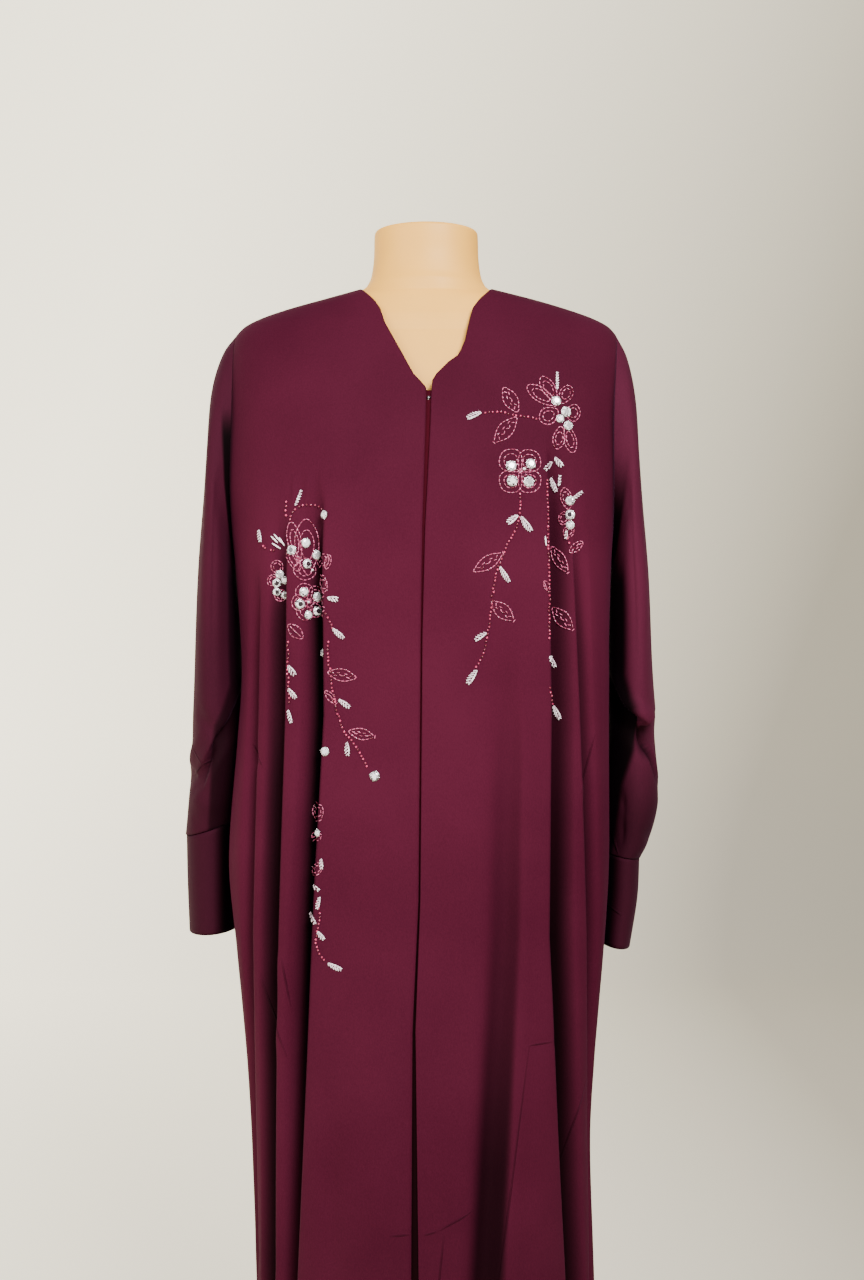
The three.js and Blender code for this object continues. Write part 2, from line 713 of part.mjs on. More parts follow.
function addSnap() {
  const place = { x: straight(opening, "line", snapHeight), z: snapHeight };
  const profile = [
    { radius: snapRadius, rise: 0 },
    { radius: snapRadius, rise: snapThick },
  ];
  object.add(seated("snap", placketGrid, place, profile, crystalSides, finish(steelColour, 0.3, 1)));
}

addSnap();

// Form: the garment's own sections without folds, moved inwards, then the neck
function plainPoint(side, face, z, share) {
  const section = quarter(side, face, z);
  const [x, y] = section.place(section.length * share);
  return new THREE.Vector3(side * x, face * y, z);
}

function formRing(z) {
  const steps = formColumns / 4;
  const points = [];
  const corner = (side, face, share) => {
    const from = plainPoint(side, face, z, Math.max(share - formShareStep, 0));
    const to = plainPoint(side, face, z, Math.min(share + formShareStep, 1));
    const below = plainPoint(side, face, z - formRiseStep, share);
    const above = plainPoint(side, face, Math.min(z + formRiseStep, neckPointHeight), share);
    const normal = to.sub(from).cross(above.sub(below)).multiplyScalar(-side * face);
    if (share === 0) normal.x = 0;
    if (share === 1) normal.y = 0;
    if (z < armholeMiddle) normal.z = 0;
    const gap = straight(formClearance, "gap", z) + formBelowRidge * (1 - share);
    const inset = wallThick + gap;
    return plainPoint(side, face, z, share).addScaledVector(normal.normalize(), -inset).toArray();
  };
  for (let k = 0; k < steps; k += 1) points.push(corner(1, -1, k / steps));
  for (let k = 0; k < steps; k += 1) points.push(corner(1, 1, 1 - k / steps));
  for (let k = 0; k < steps; k += 1) points.push(corner(-1, 1, k / steps));
  for (let k = 0; k < steps; k += 1) points.push(corner(-1, -1, 1 - k / steps));
  return points;
}

function neckRing({ z, half, front, back }) {
  const points = [];
  for (let k = 0; k < formColumns; k += 1) {
    const angle = (2 * Math.PI * k) / formColumns;
    const depth = Math.cos(angle) > 0 ? front : back;
    points.push([half * Math.sin(angle), -depth * Math.cos(angle), z]);
  }
  return points;
}

const form = [...formHeights.map(formRing), ...neckRings.map(neckRing)];
object.add(stack("form", form, finish(formColour, 0.6)));

// Stand: a pole under the form and a round base
function roundPiece(name, profile, material) {
  const outline = profile.map(([radius, height]) => new THREE.Vector2(radius, height));
  const geometry = new THREE.LatheGeometry(outline, roundSides);
  geometry.rotateX(Math.PI / 2);
  const mesh = new THREE.Mesh(geometry, material);
  mesh.name = name;
  object.add(mesh);
}

const poleFoot = baseThick + seamGap;
const poleHead = formBottom - seamGap;
roundPiece("stand_pole", [
  [0, poleFoot], [poleRadius, poleFoot], [poleRadius, poleHead], [0, poleHead],
], finish(steelColour, 0.3, 1));
roundPiece("stand_base", [
  [0, 0], [baseRadius, 0], [baseRadius, baseThick - baseBevel],
  [baseRadius - baseBevel, baseThick], [0, baseThick],
], finish(baseColour, 0.4, 0.6));

export default object;
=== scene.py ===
import bpy
import bmesh
import numpy as np
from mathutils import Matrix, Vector
from mathutils.bvhtree import BVHTree


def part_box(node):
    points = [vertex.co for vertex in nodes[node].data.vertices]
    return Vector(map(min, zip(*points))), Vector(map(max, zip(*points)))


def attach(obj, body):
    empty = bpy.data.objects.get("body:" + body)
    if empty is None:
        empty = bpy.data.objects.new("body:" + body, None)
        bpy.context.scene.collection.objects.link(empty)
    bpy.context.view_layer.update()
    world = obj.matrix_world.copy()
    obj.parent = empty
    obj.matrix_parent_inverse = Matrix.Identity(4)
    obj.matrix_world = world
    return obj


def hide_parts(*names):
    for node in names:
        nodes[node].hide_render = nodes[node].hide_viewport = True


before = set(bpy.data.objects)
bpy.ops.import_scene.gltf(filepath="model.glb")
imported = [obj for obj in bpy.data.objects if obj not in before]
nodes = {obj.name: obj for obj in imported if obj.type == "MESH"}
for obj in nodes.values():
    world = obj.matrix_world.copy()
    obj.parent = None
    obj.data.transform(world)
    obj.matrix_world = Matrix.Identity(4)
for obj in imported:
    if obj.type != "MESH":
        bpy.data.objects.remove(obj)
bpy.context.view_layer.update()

mm = 0.001  # the tables below are in millimetres

# Camera and light

camera = {
    "place": (0.006, -1.5, 1.085),  # level, straight at the front
    "heightSeen": 1.3184,  # metres of the picture's height at Y = 0
    "film": 36.0,
    "picture": (864, 1280),
    "farthest": 60,
}


def addCamera():
    data = bpy.data.cameras.new("camera")
    data.sensor_width = camera["film"]
    data.lens = camera["film"] * -camera["place"][1] / camera["heightSeen"]
    data.clip_end = camera["farthest"]
    obj = bpy.data.objects.new("camera", data)
    obj.location = camera["place"]
    obj.rotation_euler = (np.pi / 2, 0, 0)
    bpy.context.collection.objects.link(obj)
    bpy.context.scene.camera = obj


def pixelRay(px, py):
    # the line from the camera through a pixel of the 864 by 1280 picture
    wide, high = camera["picture"]
    scale = camera["heightSeen"] / high / -camera["place"][1]
    direction = Vector(((px - wide / 2) * scale, 1.0, (high / 2 - py) * scale))
    return Vector(camera["place"]), direction.normalized()


lights = [
    {"name": "key", "place": (1.1, -2.6, 2.9), "aim": (0, 0, 1.35), "size": 1.3, "power": 24,
     "spread": 0.95, "colour": (1.0, 0.96, 0.98)},
    {"name": "fill", "place": (-1.8, -2.2, 2.2), "aim": (0, 0, 1.3), "size": 1.6, "power": 9.6,
     "spread": 1.2, "colour": (0.97, 0.96, 1.0)},
]
surround = {"colour": (0.80, 0.77, 0.72, 1), "strength": 0.6}


def addLights():
    for row in lights:
        data = bpy.data.lights.new(row["name"], "AREA")
        data.size = row["size"]
        data.energy = row["power"]
        data.spread = row["spread"]
        data.color = row["colour"]
        obj = bpy.data.objects.new(row["name"], data)
        obj.location = row["place"]
        aim = Vector(row["aim"]) - Vector(row["place"])
        obj.rotation_euler = aim.to_track_quat("-Z", "Y").to_euler()
        bpy.context.collection.objects.link(obj)
    world = bpy.data.worlds.new("studio")
    world.use_nodes = True
    back = world.node_tree.nodes["Background"]
    back.inputs["Color"].default_value = surround["colour"]
    back.inputs["Strength"].default_value = surround["strength"]
    bpy.context.scene.world = world


addCamera()
addLights()
print("camera and lights ready")


# Materials

def linear(code):
    # a web colour as linear red, green, blue
    value = np.array([int(code[i:i + 2], 16) for i in (0, 2, 4)]) / 255
    low = value / 12.92
    high = ((value + 0.055) / 1.055) ** 2.4
    return (*np.where(value <= 0.04045, low, high), 1.0)


def newMaterial(name):
    mat = bpy.data.materials.new(name)
    mat.use_nodes = True
    tree = mat.node_tree
    return mat, tree, tree.nodes["Principled BSDF"]


def addNode(tree, kind, **values):
    node = tree.nodes.new(kind)
    for key, value in values.items():
        if hasattr(node, key):
            setattr(node, key, value)
        else:
            node.inputs[key].default_value = value
    return node


def feed(tree, sockets, values):
    # each value is another node's output, which is linked, or a plain one
    for socket, value in zip(sockets, values):
        if isinstance(value, bpy.types.NodeSocket):
            tree.links.new(value, socket)
        else:
            socket.default_value = value


def mathNode(tree, operation, *values):
    node = addNode(tree, "ShaderNodeMath", operation=operation)
    feed(tree, node.inputs, values)
    return node.outputs[0]


def vectorNode(tree, operation, *values, output="Vector"):
    node = addNode(tree, "ShaderNodeVectorMath", operation=operation)
    feed(tree, node.inputs, values)
    return node.outputs[output]


def scaled(tree, vector, scale):
    node = addNode(tree, "ShaderNodeVectorMath", operation="SCALE")
    feed(tree, [node.inputs[0], node.inputs["Scale"]], [vector, scale])
    return node.outputs["Vector"]


def mapRange(tree, value, start, end, low, high, kind="LINEAR"):
    # low up to start, high from end on, and a straight or soft run between them
    node = addNode(tree, "ShaderNodeMapRange", interpolation_type=kind)
    feed(tree, node.inputs, [value, start, end, low, high])
    return node.outputs["Result"]


def noiseNode(tree, place, **values):
    node = addNode(tree, "ShaderNodeTexNoise", **values)
    tree.links.new(place, node.inputs["Vector"])
    return node.outputs["Fac"]


def bumpNode(tree, height, distance, strength=1.0):
    node = addNode(tree, "ShaderNodeBump", Distance=distance, Strength=strength)
    tree.links.new(height, node.inputs["Height"])
    return node


def objectPlace(tree):
    return addNode(tree, "ShaderNodeTexCoord").outputs["Object"]


def shadeAttribute(tree):
    return addNode(tree, "ShaderNodeAttribute", attribute_name="shade").outputs["Fac"]


def colourRamp(tree, factor, stops):
    ramp = addNode(tree, "ShaderNodeValToRGB")
    for element, stop in zip(ramp.color_ramp.elements, stops):
        element.position, element.color = stop
    tree.links.new(factor, ramp.inputs["Fac"])
    return ramp.outputs["Color"]


def setInputs(shader, values):
    for key, value in values.items():
        shader.inputs[key].default_value = value


crepe = {
    "grain": 900.0, "grainHeight": 0.00022, "grainStrength": 0.7, "grainMix": 0.35,
    "squeeze": (1.0, 1.0, 0.55), "cloud": 5.0, "cloudMix": 0.65, "colourStops": (0.36, 0.64),
    "deepShade": 0.03, "lineWidth": 1.4, "lineHeight": 0.0009, "lineShade": 0.26, "lineEnds": (0.3, 0.25),
}
crepeFinish = {
    "Roughness": 0.78, "Specular IOR Level": 0.04, "Sheen Weight": 0.06, "Sheen Roughness": 0.4,
    "Sheen Tint": linear("9c6494"),
}

# Sharp press creases, drawn as a bump and as a painted shade line: both ends as X and Z
pressLines = {
    "front": [
        ((-33, 526), (-15, 528)), ((-2, 527), (11, 531)), ((11, 531), (44, 548)),
        ((17, 526), (11, 470)), ((98, 699), (121, 700)), ((98, 699), (68, 470)),
        ((-159, 756), (-134, 685)), ((-138, 780), (-130, 733)), ((165, 994), (150, 937)),
        ((-170, 983), (-158, 962)), ((157, 653), (131, 576)),
    ],
    "sleeve": [
        ((-236, 976), (-224, 960)), ((-224, 960), (-212, 966)), ((-236, 948), (-224, 960)),
        ((184, 816), (197, 808)), ((187, 895), (194, 869)),
    ],
}


def pressCreases(tree, place, rows):
    # one over each line and none a little way off it, from the distance to the line's
    # nearest place: that is A + AB times the share of AB at which the point lies, held in 0 to 1.
    # The line fades where that share comes near 0 or 1.
    flat = vectorNode(tree, "MULTIPLY", place, (1, 0, 1))
    fadeFrom, least = crepe["lineEnds"]
    total = None
    for (x0, z0), (x1, z1) in rows:
        start = Vector((x0, 0, z0)) * mm
        run = Vector((x1, 0, z1)) * mm - start
        offset = vectorNode(tree, "SUBTRACT", flat, start)
        share = vectorNode(tree, "DOT_PRODUCT", offset, run / run.length_squared, output="Value")
        held = mapRange(tree, share, 0, 1, 0, 1)
        gap = vectorNode(tree, "DISTANCE", offset, scaled(tree, run, held), output="Value")
        line = mapRange(tree, gap, 0, crepe["lineWidth"] * mm, 1, 0, "SMOOTHSTEP")
        fade = mapRange(tree, mathNode(tree, "PINGPONG", held, 0.5), 0, fadeFrom, least, 1)
        drawn = mathNode(tree, "MULTIPLY", line, fade)
        total = drawn if total is None else mathNode(tree, "MAXIMUM", total, drawn)
    return total


def crepeMaterial(name, deep, light, lines=()):
    # a fine pebbled crepe: noise as bump, soft clouds of colour, sharp creases as a bump with a painted
    # shade line along each, and darker where the shade attribute says that the cloth lies deep in a fold, as
    # painted shade
    mat, tree, shader = newMaterial(name)
    place = objectPlace(tree)
    cloud = noiseNode(tree, place, Scale=crepe["cloud"], Detail=3.0)
    squeezed = vectorNode(tree, "MULTIPLY", place, crepe["squeeze"])
    grain = noiseNode(tree, squeezed, Scale=crepe["grain"], Detail=2.0, Roughness=0.6)
    clouds = mathNode(tree, "MULTIPLY", cloud, crepe["cloudMix"])
    mixed = mathNode(tree, "MULTIPLY_ADD", grain, crepe["grainMix"], clouds)
    colour = colourRamp(tree, mixed, zip(crepe["colourStops"], (linear(deep), linear(light))))
    kept = mapRange(tree, shadeAttribute(tree), 0, 1, 1, crepe["deepShade"])
    bump = bumpNode(tree, grain, crepe["grainHeight"], crepe["grainStrength"])
    if lines:
        pressed = pressCreases(tree, place, lines)
        ridge = bumpNode(tree, pressed, crepe["lineHeight"])
        tree.links.new(ridge.outputs["Normal"], bump.inputs["Normal"])
        # painted shade along each press crease
        beside = mathNode(tree, "MULTIPLY_ADD", pressed, -crepe["lineShade"], 1.0)
        kept = mathNode(tree, "MULTIPLY", kept, beside)
    tree.links.new(scaled(tree, colour, kept), shader.inputs["Base Color"])
    tree.links.new(bump.outputs["Normal"], shader.inputs["Normal"])
    setInputs(shader, crepeFinish)
    return mat


def plainMaterial(name, colour, roughness, metallic=0.0, spots=60.0, change=0.08):
    # a smooth finish with slight clouds in its roughness and colour
    mat, tree, shader = newMaterial(name)
    noise = noiseNode(tree, objectPlace(tree), Scale=spots, Detail=4.0)
    base = np.array(linear(colour))
    darker = (*(base[:3] * (1 - change)), 1.0)
    tint = colourRamp(tree, noise, [(0.3, darker), (0.7, tuple(base))])
    rough = mapRange(tree, noise, 0, 1, roughness * 0.85, min(roughness * 1.15, 1.0))
    tree.links.new(tint, shader.inputs["Base Color"])
    tree.links.new(rough, shader.inputs["Roughness"])
    shader.inputs["Metallic"].default_value = metallic
    return mat


def beadMaterial(name, dark, bright, roughness, metallic=0.0):
    # shiny glass beads, each coloured from the dark colour to the bright one by the shade attribute: partly
    # their own tone, partly painted glints; on the cut stones each facet's painted reflection
    mat, tree, shader = newMaterial(name)
    colour = colourRamp(tree, shadeAttribute(tree), [(0.0, linear(dark)), (1.0, linear(bright))])
    tree.links.new(colour, shader.inputs["Base Color"])
    setInputs(shader, {"Roughness": roughness, "Metallic": metallic, "Coat Weight": 0.6,
                       "Coat Roughness": 0.08})
    return mat


clothMat = crepeMaterial("burgundyCrepe", "3c0c1f", "491428")
frontMat = crepeMaterial("burgundyFrontCrepe", "3c0c1f", "491428", pressLines["front"])
# the sleeves: the same crepe a little lighter and greyer, as painted light
sleeveLitMat = crepeMaterial("burgundySleeveLitCrepe", "3e1324", "4b182c", pressLines["sleeve"])
# the underlap: the same crepe painted darker, as painted shade in the opening's gap
placketShadedMat = crepeMaterial("placketShadedCrepe", "30030f", "3b0614")
formMat = plainMaterial("formSkin", "f3b242", 0.55, spots=45.0, change=0.04)
steelMat = plainMaterial("polishedSteel", "c3c5c7", 0.22, metallic=1.0, spots=25.0)
baseMat = plainMaterial("brushedBase", "bdbcb8", 0.38, metallic=0.85, spots=120.0)
vineMat = beadMaterial("redBead", "520517", "c8466f", 0.15)
bugleMat = beadMaterial("pinkBugle", "640b26", "c45e83", 0.2)
silverMat = beadMaterial("silverLeaf", "b894a2", "fff4f8", 0.3)
stoneMat = beadMaterial("cutStone", "30262b", "ffffff", 0.06, 0.15)
clawMat = plainMaterial("silverClaw", "d8d6d6", 0.25, metallic=1.0)
print("materials ready")


# Mesh helpers

def gridFaces(height, width, closed=False):
    # quads over a grid of points, rows upwards and columns to the right seen from outside
    span = width if closed else width - 1
    r, c = np.meshgrid(np.arange(height - 1), np.arange(span), indexing="ij")
    right = (c + 1) % width
    quads = np.stack([r * width + c, r * width + right, (r + 1) * width + right, (r + 1) * width + c], -1)
    return quads.reshape(-1, 4)


def makePiece(name, points, faces, material, smooth=True):
    mesh = bpy.data.meshes.new(name)
    mesh.from_pydata((np.asarray(points) * mm).tolist(), [], [list(face) for face in faces])
    mesh.materials.append(material)
    mesh.polygons.foreach_set("use_smooth", np.full(len(mesh.polygons), smooth))
    mesh.update()
    obj = bpy.data.objects.new(name, mesh)
    bpy.context.collection.objects.link(obj)
    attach(obj, "root")
    return obj


def thicken(obj, thickness):
    # the wall is given inwards from the outer face
    solidify = obj.modifiers.new("wall", "SOLIDIFY")
    solidify.thickness = thickness * mm
    solidify.offset = -1.0


def softStep(start, end, value):
    t = np.clip((value - start) / (end - start), 0, 1)
    return t * t * (3 - 2 * t)


def cubic(knots, values, at):
    # a cubic curve through the values at the knots, with slopes taken from the knots on each side
    knots, values, at = (np.asarray(a, float) for a in (knots, values, at))
    last = len(knots) - 1
    before = np.maximum(np.arange(last + 1) - 1, 0)
    after = np.minimum(np.arange(last + 1) + 1, last)
    wide = (1,) * (values.ndim - 1)
    slopes = (values[after] - values[before]) / (knots[after] - knots[before]).reshape((-1,) + wide)
    i = np.clip(np.searchsorted(knots, at, side="right") - 1, 0, last - 1)
    high = (knots[i + 1] - knots[i]).reshape(at.shape + wide)
    t = np.clip((at - knots[i]).reshape(at.shape + wide) / high, 0, 1)
    bend = (slopes[i] * (1 - t) - slopes[i + 1] * t) * high * t * (1 - t)
    return values[i] + (values[i + 1] - values[i]) * t * t * (3 - 2 * t) + bend


def smooth(table, key, z):
    return cubic(table["z"], table[key], z)


def straight(table, key, z):
    return np.interp(z, table["z"], table[key])


def perRow(at, xs, ys):
    # reads each row's own curve at that row's places
    return np.array([np.interp(a, x, y) for a, x, y in zip(at, xs, ys)])


# The garment's level sections, as in the solids: an oval of some power at each height

signs = {"left": 1, "right": -1, "front": -1, "back": 1}  # of a side along X, of a face along Y
garment = {
    "hem": 40.0,
    "neckPoint": 1440.0,
    "armholeMiddle": 1283.0,
    "armholeHalfHeight": 118.5,
    "armholeHalfDepth": 60.0,
    "seamGap": 0.06,
    "wall": 1.2,
    "skirtRows": 200,
    "armholeRows": 48,
    "shoulderRows": 26,
    "arcSteps": 260,
}

sections = {
    "z": [40, 200, 426, 580, 670, 783, 868, 986, 1045, 1100,
          1165, 1240, 1300, 1350, 1385, 1402, 1412, 1421, 1430, 1440],
    "right": [183, 179, 173, 177, 183, 196, 203, 194, 189, 190,
              194, 202, 205, 204, 199, 189, 172, 145, 111, 73],
    "left": [180, 175, 170, 167, 172, 184, 189, 189, 188, 187,
             188, 194, 198, 200, 198, 190, 174, 148, 116, 73],
    "front": [165, 156, 142, 132, 127, 120, 116, 113, 114, 116,
              118, 113, 104, 92, 80, 73, 68, 64, 60, 55],
    "back": [176, 166, 150, 138, 130, 120, 112, 102, 100, 101,
             104, 105, 101, 94, 86, 80, 76, 71, 66, 60],
    "power": [2.3, 2.3, 2.4, 2.5, 2.6, 2.8, 2.9, 2.9, 2.9, 2.9,
              3, 3.1, 3.1, 3, 2.7, 2.4, 2.2, 2.2, 2.2, 2.2],
}

# inner edges of the fronts above the opening, and the back's neckline
neckline = {
    "z": [1329, 1335, 1341, 1354, 1362, 1377, 1396, 1412, 1421, 1424, 1430, 1440],
    "right": [1.5, 5, 11, 18, 22, 30, 40, 45, 51, 53.5, 59, 68],
    "left": [3.5, 6, 9, 21, 32, 38, 42, 46, 52, 54.5, 60, 68],
    "back": [0, 0, 0, 0, 0, 0, 0, 0, 0, 22, 48, 67],
}

# the front opening's line, and half its gape
opening = {
    "z": [40, 475, 716, 837, 1090, 1190, 1290, 1329],
    "line": [-9, -10, -11, -6, -4, -2, 2, 3],
    "halfGap": [5, 3.6, 1.4, 0.9, 0.9, 1.4, 2.4, 2.6],
}

# Hanging folds: a recess with a narrow lip towards the middle and a wider slope outwards.
# place is the distance from the middle at five heights, and depth is given at three. dark is
# the shade of its floor, also at the five heights if it changes, and wide is the share by which
# that shade reaches further up the slope. starts is the height of its upper end.
foldHeights = [40, 475, 801, 1013, 1200]
depthHeights = [40, 475, 1013]
folds = {
    ("right", "front"): [
        {"place": [134, 127, 112, 101, 102], "depth": [40, 32, 19],
         "lip": 9, "slope": 22, "dark": 1.0, "starts": 1240},
        {"place": [158, 149, 144, 139, 136], "depth": [30, 20, 11],
         "lip": 8, "slope": 18, "dark": 0.88, "wide": 1.45, "starts": 1222},
        {"place": [180, 166, 171, 166, 163], "depth": [20, 12, 8],
         "lip": 8, "slope": 16, "dark": 0.55, "starts": 1160},
    ],
    ("left", "front"): [
        {"place": [46, 59, 77, 81, 83], "depth": [26, 14, 4],
         "lip": 28, "slope": 14, "dark": 0.84, "starts": 1085},
        {"place": [146, 139, 122, 125, 122], "depth": [36, 28, 17],
         "lip": 9, "slope": 22, "dark": [0.97, 0.97, 0.92, 0.64, 0.52], "wide": 1.4, "starts": 1285},
        {"place": [168, 160, 159, 152, 144], "depth": [24, 15, 11],
         "lip": 8, "slope": 16, "dark": 0.6, "starts": 1205},
    ],
    ("right", "back"): [
        {"place": [44, 40, 36, 32, 30], "depth": [30, 20, 7],
         "lip": 20, "slope": 24, "dark": 0.7, "starts": 1180},
        {"place": [104, 98, 92, 88, 86], "depth": [38, 28, 15],
         "lip": 12, "slope": 24, "dark": 0.9, "starts": 1235},
        {"place": [158, 148, 145, 140, 136], "depth": [30, 21, 12],
         "lip": 10, "slope": 20, "dark": 0.75, "starts": 1205},
    ],
    ("left", "back"): [
        {"place": [56, 50, 44, 40, 38], "depth": [28, 17, 6],
         "lip": 22, "slope": 20, "dark": 0.7, "starts": 1130},
        {"place": [112, 108, 100, 95, 92], "depth": [36, 26, 14],
         "lip": 12, "slope": 26, "dark": 0.9, "starts": 1245},
        {"place": [160, 152, 150, 143, 140], "depth": [28, 20, 10],
         "lip": 10, "slope": 18, "dark": 0.75, "starts": 1190},
    ],
}

# the side is pressed in where the sleeve hangs
sidePress = {
    "z": [40, 426, 670, 783, 868, 986, 1060, 1130],
    "depth": [18, 12, 14, 18, 18, 13, 7, 0],
    "front": [34, 36, 48, 58, 58, 56, 52, 50],
    "back": [34, 40, 76, 96, 96, 90, 80, 70],
}

# Small creases on the fronts and back: both ends seen from the front, width, and height (minus is in)
creases = {
    "front": [
        ((-32, 527), (-14, 529), 5, 0.9), ((-2, 528), (11, 532), 5, 0.9),
        ((11, 532), (44, 549), 6, 1.1), ((17, 527), (11, 470), 6, 0.9),
        ((99, 699), (121, 700), 4, -1.2), ((-170, 983), (-158, 962), 5, -1.6),
        ((-60, 1150), (-75, 900), 26, -1.4), ((-38, 1010), (-52, 640), 30, 1.2),
        ((34, 1120), (28, 720), 26, 1.2), ((60, 1290), (98, 1180), 24, 1.4),
        ((-88, 1300), (-70, 1170), 22, 1.2), ((-91, 660), (-86, 410), 11, -1.8),
        ((-126, 1240), (-127, 1214), 2.4, 1.1), ((-119, 1236), (-120, 1210), 2.4, -1.1),
        ((-112, 1242), (-113, 1218), 2.4, 1.1), ((-104, 1238), (-105, 1205), 2.6, -1.2),
        ((165, 994), (150, 937), 4, 1.8), ((-159, 756), (-134, 685), 5, 1.8),
        ((-138, 780), (-130, 733), 4, 1.6), ((108, 1248), (109, 1215), 3, 1.2),
        ((150, 1370), (168, 1250), 16, 1.4), ((-158, 1372), (-178, 1240), 16, 1.6),
    ],
    "back": [
        ((-60, 1390), (60, 1386), 12, 1.4), ((-150, 1360), (-120, 1220), 18, 1.8),
        ((150, 1362), (124, 1240), 18, 1.6), ((-20, 1260), (-30, 900), 26, 1.4),
        ((20, 1180), (16, 700), 22, 1.2), ((-70, 620), (-40, 600), 6, 1.0),
        ((60, 820), (86, 800), 6, -1.0),
    ],
}


def quarter(side, face, z):
    # From the middle to the side, x is the half width times sin(angle) to 2/power and y is
    # the depth times cos(angle) to 2/power. arc is the length along that curve.
    z = np.asarray(z, float)
    half = smooth(sections, side, z)[:, None]
    depth = smooth(sections, face, z)[:, None]
    power = (2 / smooth(sections, "power", z))[:, None]
    angle = np.linspace(0, np.pi / 2, garment["arcSteps"])[None, :]
    x = half * np.sin(angle) ** power
    y = depth * np.clip(np.cos(angle), 0, 1) ** power
    y[:, -1] = 0
    run = np.hypot(np.diff(x, axis=1), np.diff(y, axis=1))
    arc = np.concatenate([np.zeros((len(z), 1)), np.cumsum(run, axis=1)], axis=1)
    return {"side": side, "face": face, "z": z, "x": x, "y": y, "arc": arc, "length": arc[:, -1]}


def plainPlace(part, arc):
    # points of the unfolded section; before the middle it goes on straight
    x = perRow(arc, part["arc"], part["x"])
    y = perRow(arc, part["arc"], part["y"])
    return np.where(arc < 0, arc, x), y


def arcAtX(part, x):
    return perRow(np.asarray(x)[:, None], part["x"], part["arc"])[:, 0]


def arcAtY(part, y):
    return perRow(np.asarray(y)[:, None], part["y"][:, ::-1], part["arc"][:, ::-1])[:, 0]


def bell(t):
    # one at nought, and down to nought at one on both sides along a cosine
    return np.where(np.abs(t) >= 1, 0.0, 0.5 + 0.5 * np.cos(np.pi * np.clip(t, -1, 1)))


# A pair of heights or steps is where a soft step begins and where it is full. A lip wider than
# its slope is soft, and its shade reaches to the slope's end.
drape = {
    "fade": 90, "spread": 0.25, "spreadHeights": (1000, 400), "probe": 2,
    "lean": 0.22, "leanMost": 5.0, "leanBack": 0.7, "swell": 0.12, "creaseEnds": 0.6,
    "ripple": 0.5, "rippleLeast": 0.25, "rippleHeights": (1240, 1000), "rippleFromSide": 30,
}
shading = {
    "begins": (10, -130), "depths": (1, 20), "depthGain": 1.6, "narrowest": 0.35,
    "sharpLip": ((-0.95, -0.5), (0.75, 0.3)), "softLip": ((-0.8, -0.2), (1.05, 0.6)),
    "edge": 0.75, "edgeReach": 6, "edgeHeights": (1380, 1290),
    "shoulders": 0.18, "shoulderHeights": (1150, 1300), "hem": 0.12, "hemHeights": (600, 350),
}


def foldDepth(fold, z):
    fade = softStep(fold["starts"], fold["starts"] - drape["fade"], z)
    return fade * np.interp(z, depthHeights, fold["depth"])


def foldSpread(z):
    return 1 + drape["spread"] * softStep(*drape["spreadHeights"], z)


def foldCentre(part, fold):
    return arcAtX(part, np.interp(part["z"], foldHeights, fold["place"]))


def foldPlace(part, fold, arc):
    # how far a place lies from the fold's floor: 0 there, -1 where its lip and 1 where its slope ends
    offset = arc - foldCentre(part, fold)[:, None]
    return offset / (np.where(offset < 0, fold["lip"], fold["slope"]) * foldSpread(part["z"][:, None]))


def creaseRelief(x, z, crease, ends):
    # its height times exp(-(distance / width)^2), and lower towards both ends of its line
    (x0, z0), (x1, z1), width, height = crease
    run = np.array([x1 - x0, z1 - z0], float)
    t = np.clip(((x - x0) * run[0] + (z - z0) * run[1]) / run.dot(run), 0, 1)
    gap = np.hypot(x - x0 - t * run[0], z - z0 - t * run[1])
    return height * np.exp(-(gap / width) ** 2) * (ends + (1 - ends) * np.sin(np.pi * t))


def foldShade(part, arc):
    # how deep in shade the cloth lies: each fold's floor, less on its wider side, and the
    # armhole's edge; a little of it at the shoulders and towards the hem too
    z = part["z"][:, None]
    shade = np.zeros_like(arc)
    for fold in folds[(part["side"], part["face"])]:
        start, full = (fold["starts"] + step for step in shading["begins"])
        begins = softStep(start, full, z)
        depth = softStep(*shading["depths"], np.interp(z, depthHeights, fold["depth"]))
        dark = np.interp(z, foldHeights, np.broadcast_to(fold["dark"], len(foldHeights)))
        amount = begins * np.minimum(shading["depthGain"] * depth, 1) * dark
        # the shade is narrow where the fold starts
        t = foldPlace(part, fold, arc) / (shading["narrowest"] + (1 - shading["narrowest"]) * begins)
        t = t / np.where(t > 0, fold.get("wide", 1), 1)
        lipEnds, slopeEnds = shading["softLip" if fold["lip"] > fold["slope"] else "sharpLip"]
        floor = np.where(t < 0, softStep(*lipEnds, t), softStep(*slopeEnds, t))
        shade = np.maximum(shade, amount * floor)
    edge = np.exp(-((outerArc(part)[:, None] - arc) / shading["edgeReach"]) ** 2)
    shade = np.maximum(shade, shading["edge"] * edge * softStep(*shading["edgeHeights"], z))
    shoulders = shading["shoulders"] * softStep(*shading["shoulderHeights"], z)
    ends = shoulders + shading["hem"] * softStep(*shading["hemHeights"], z)
    return shade + (1 - shade) * ends


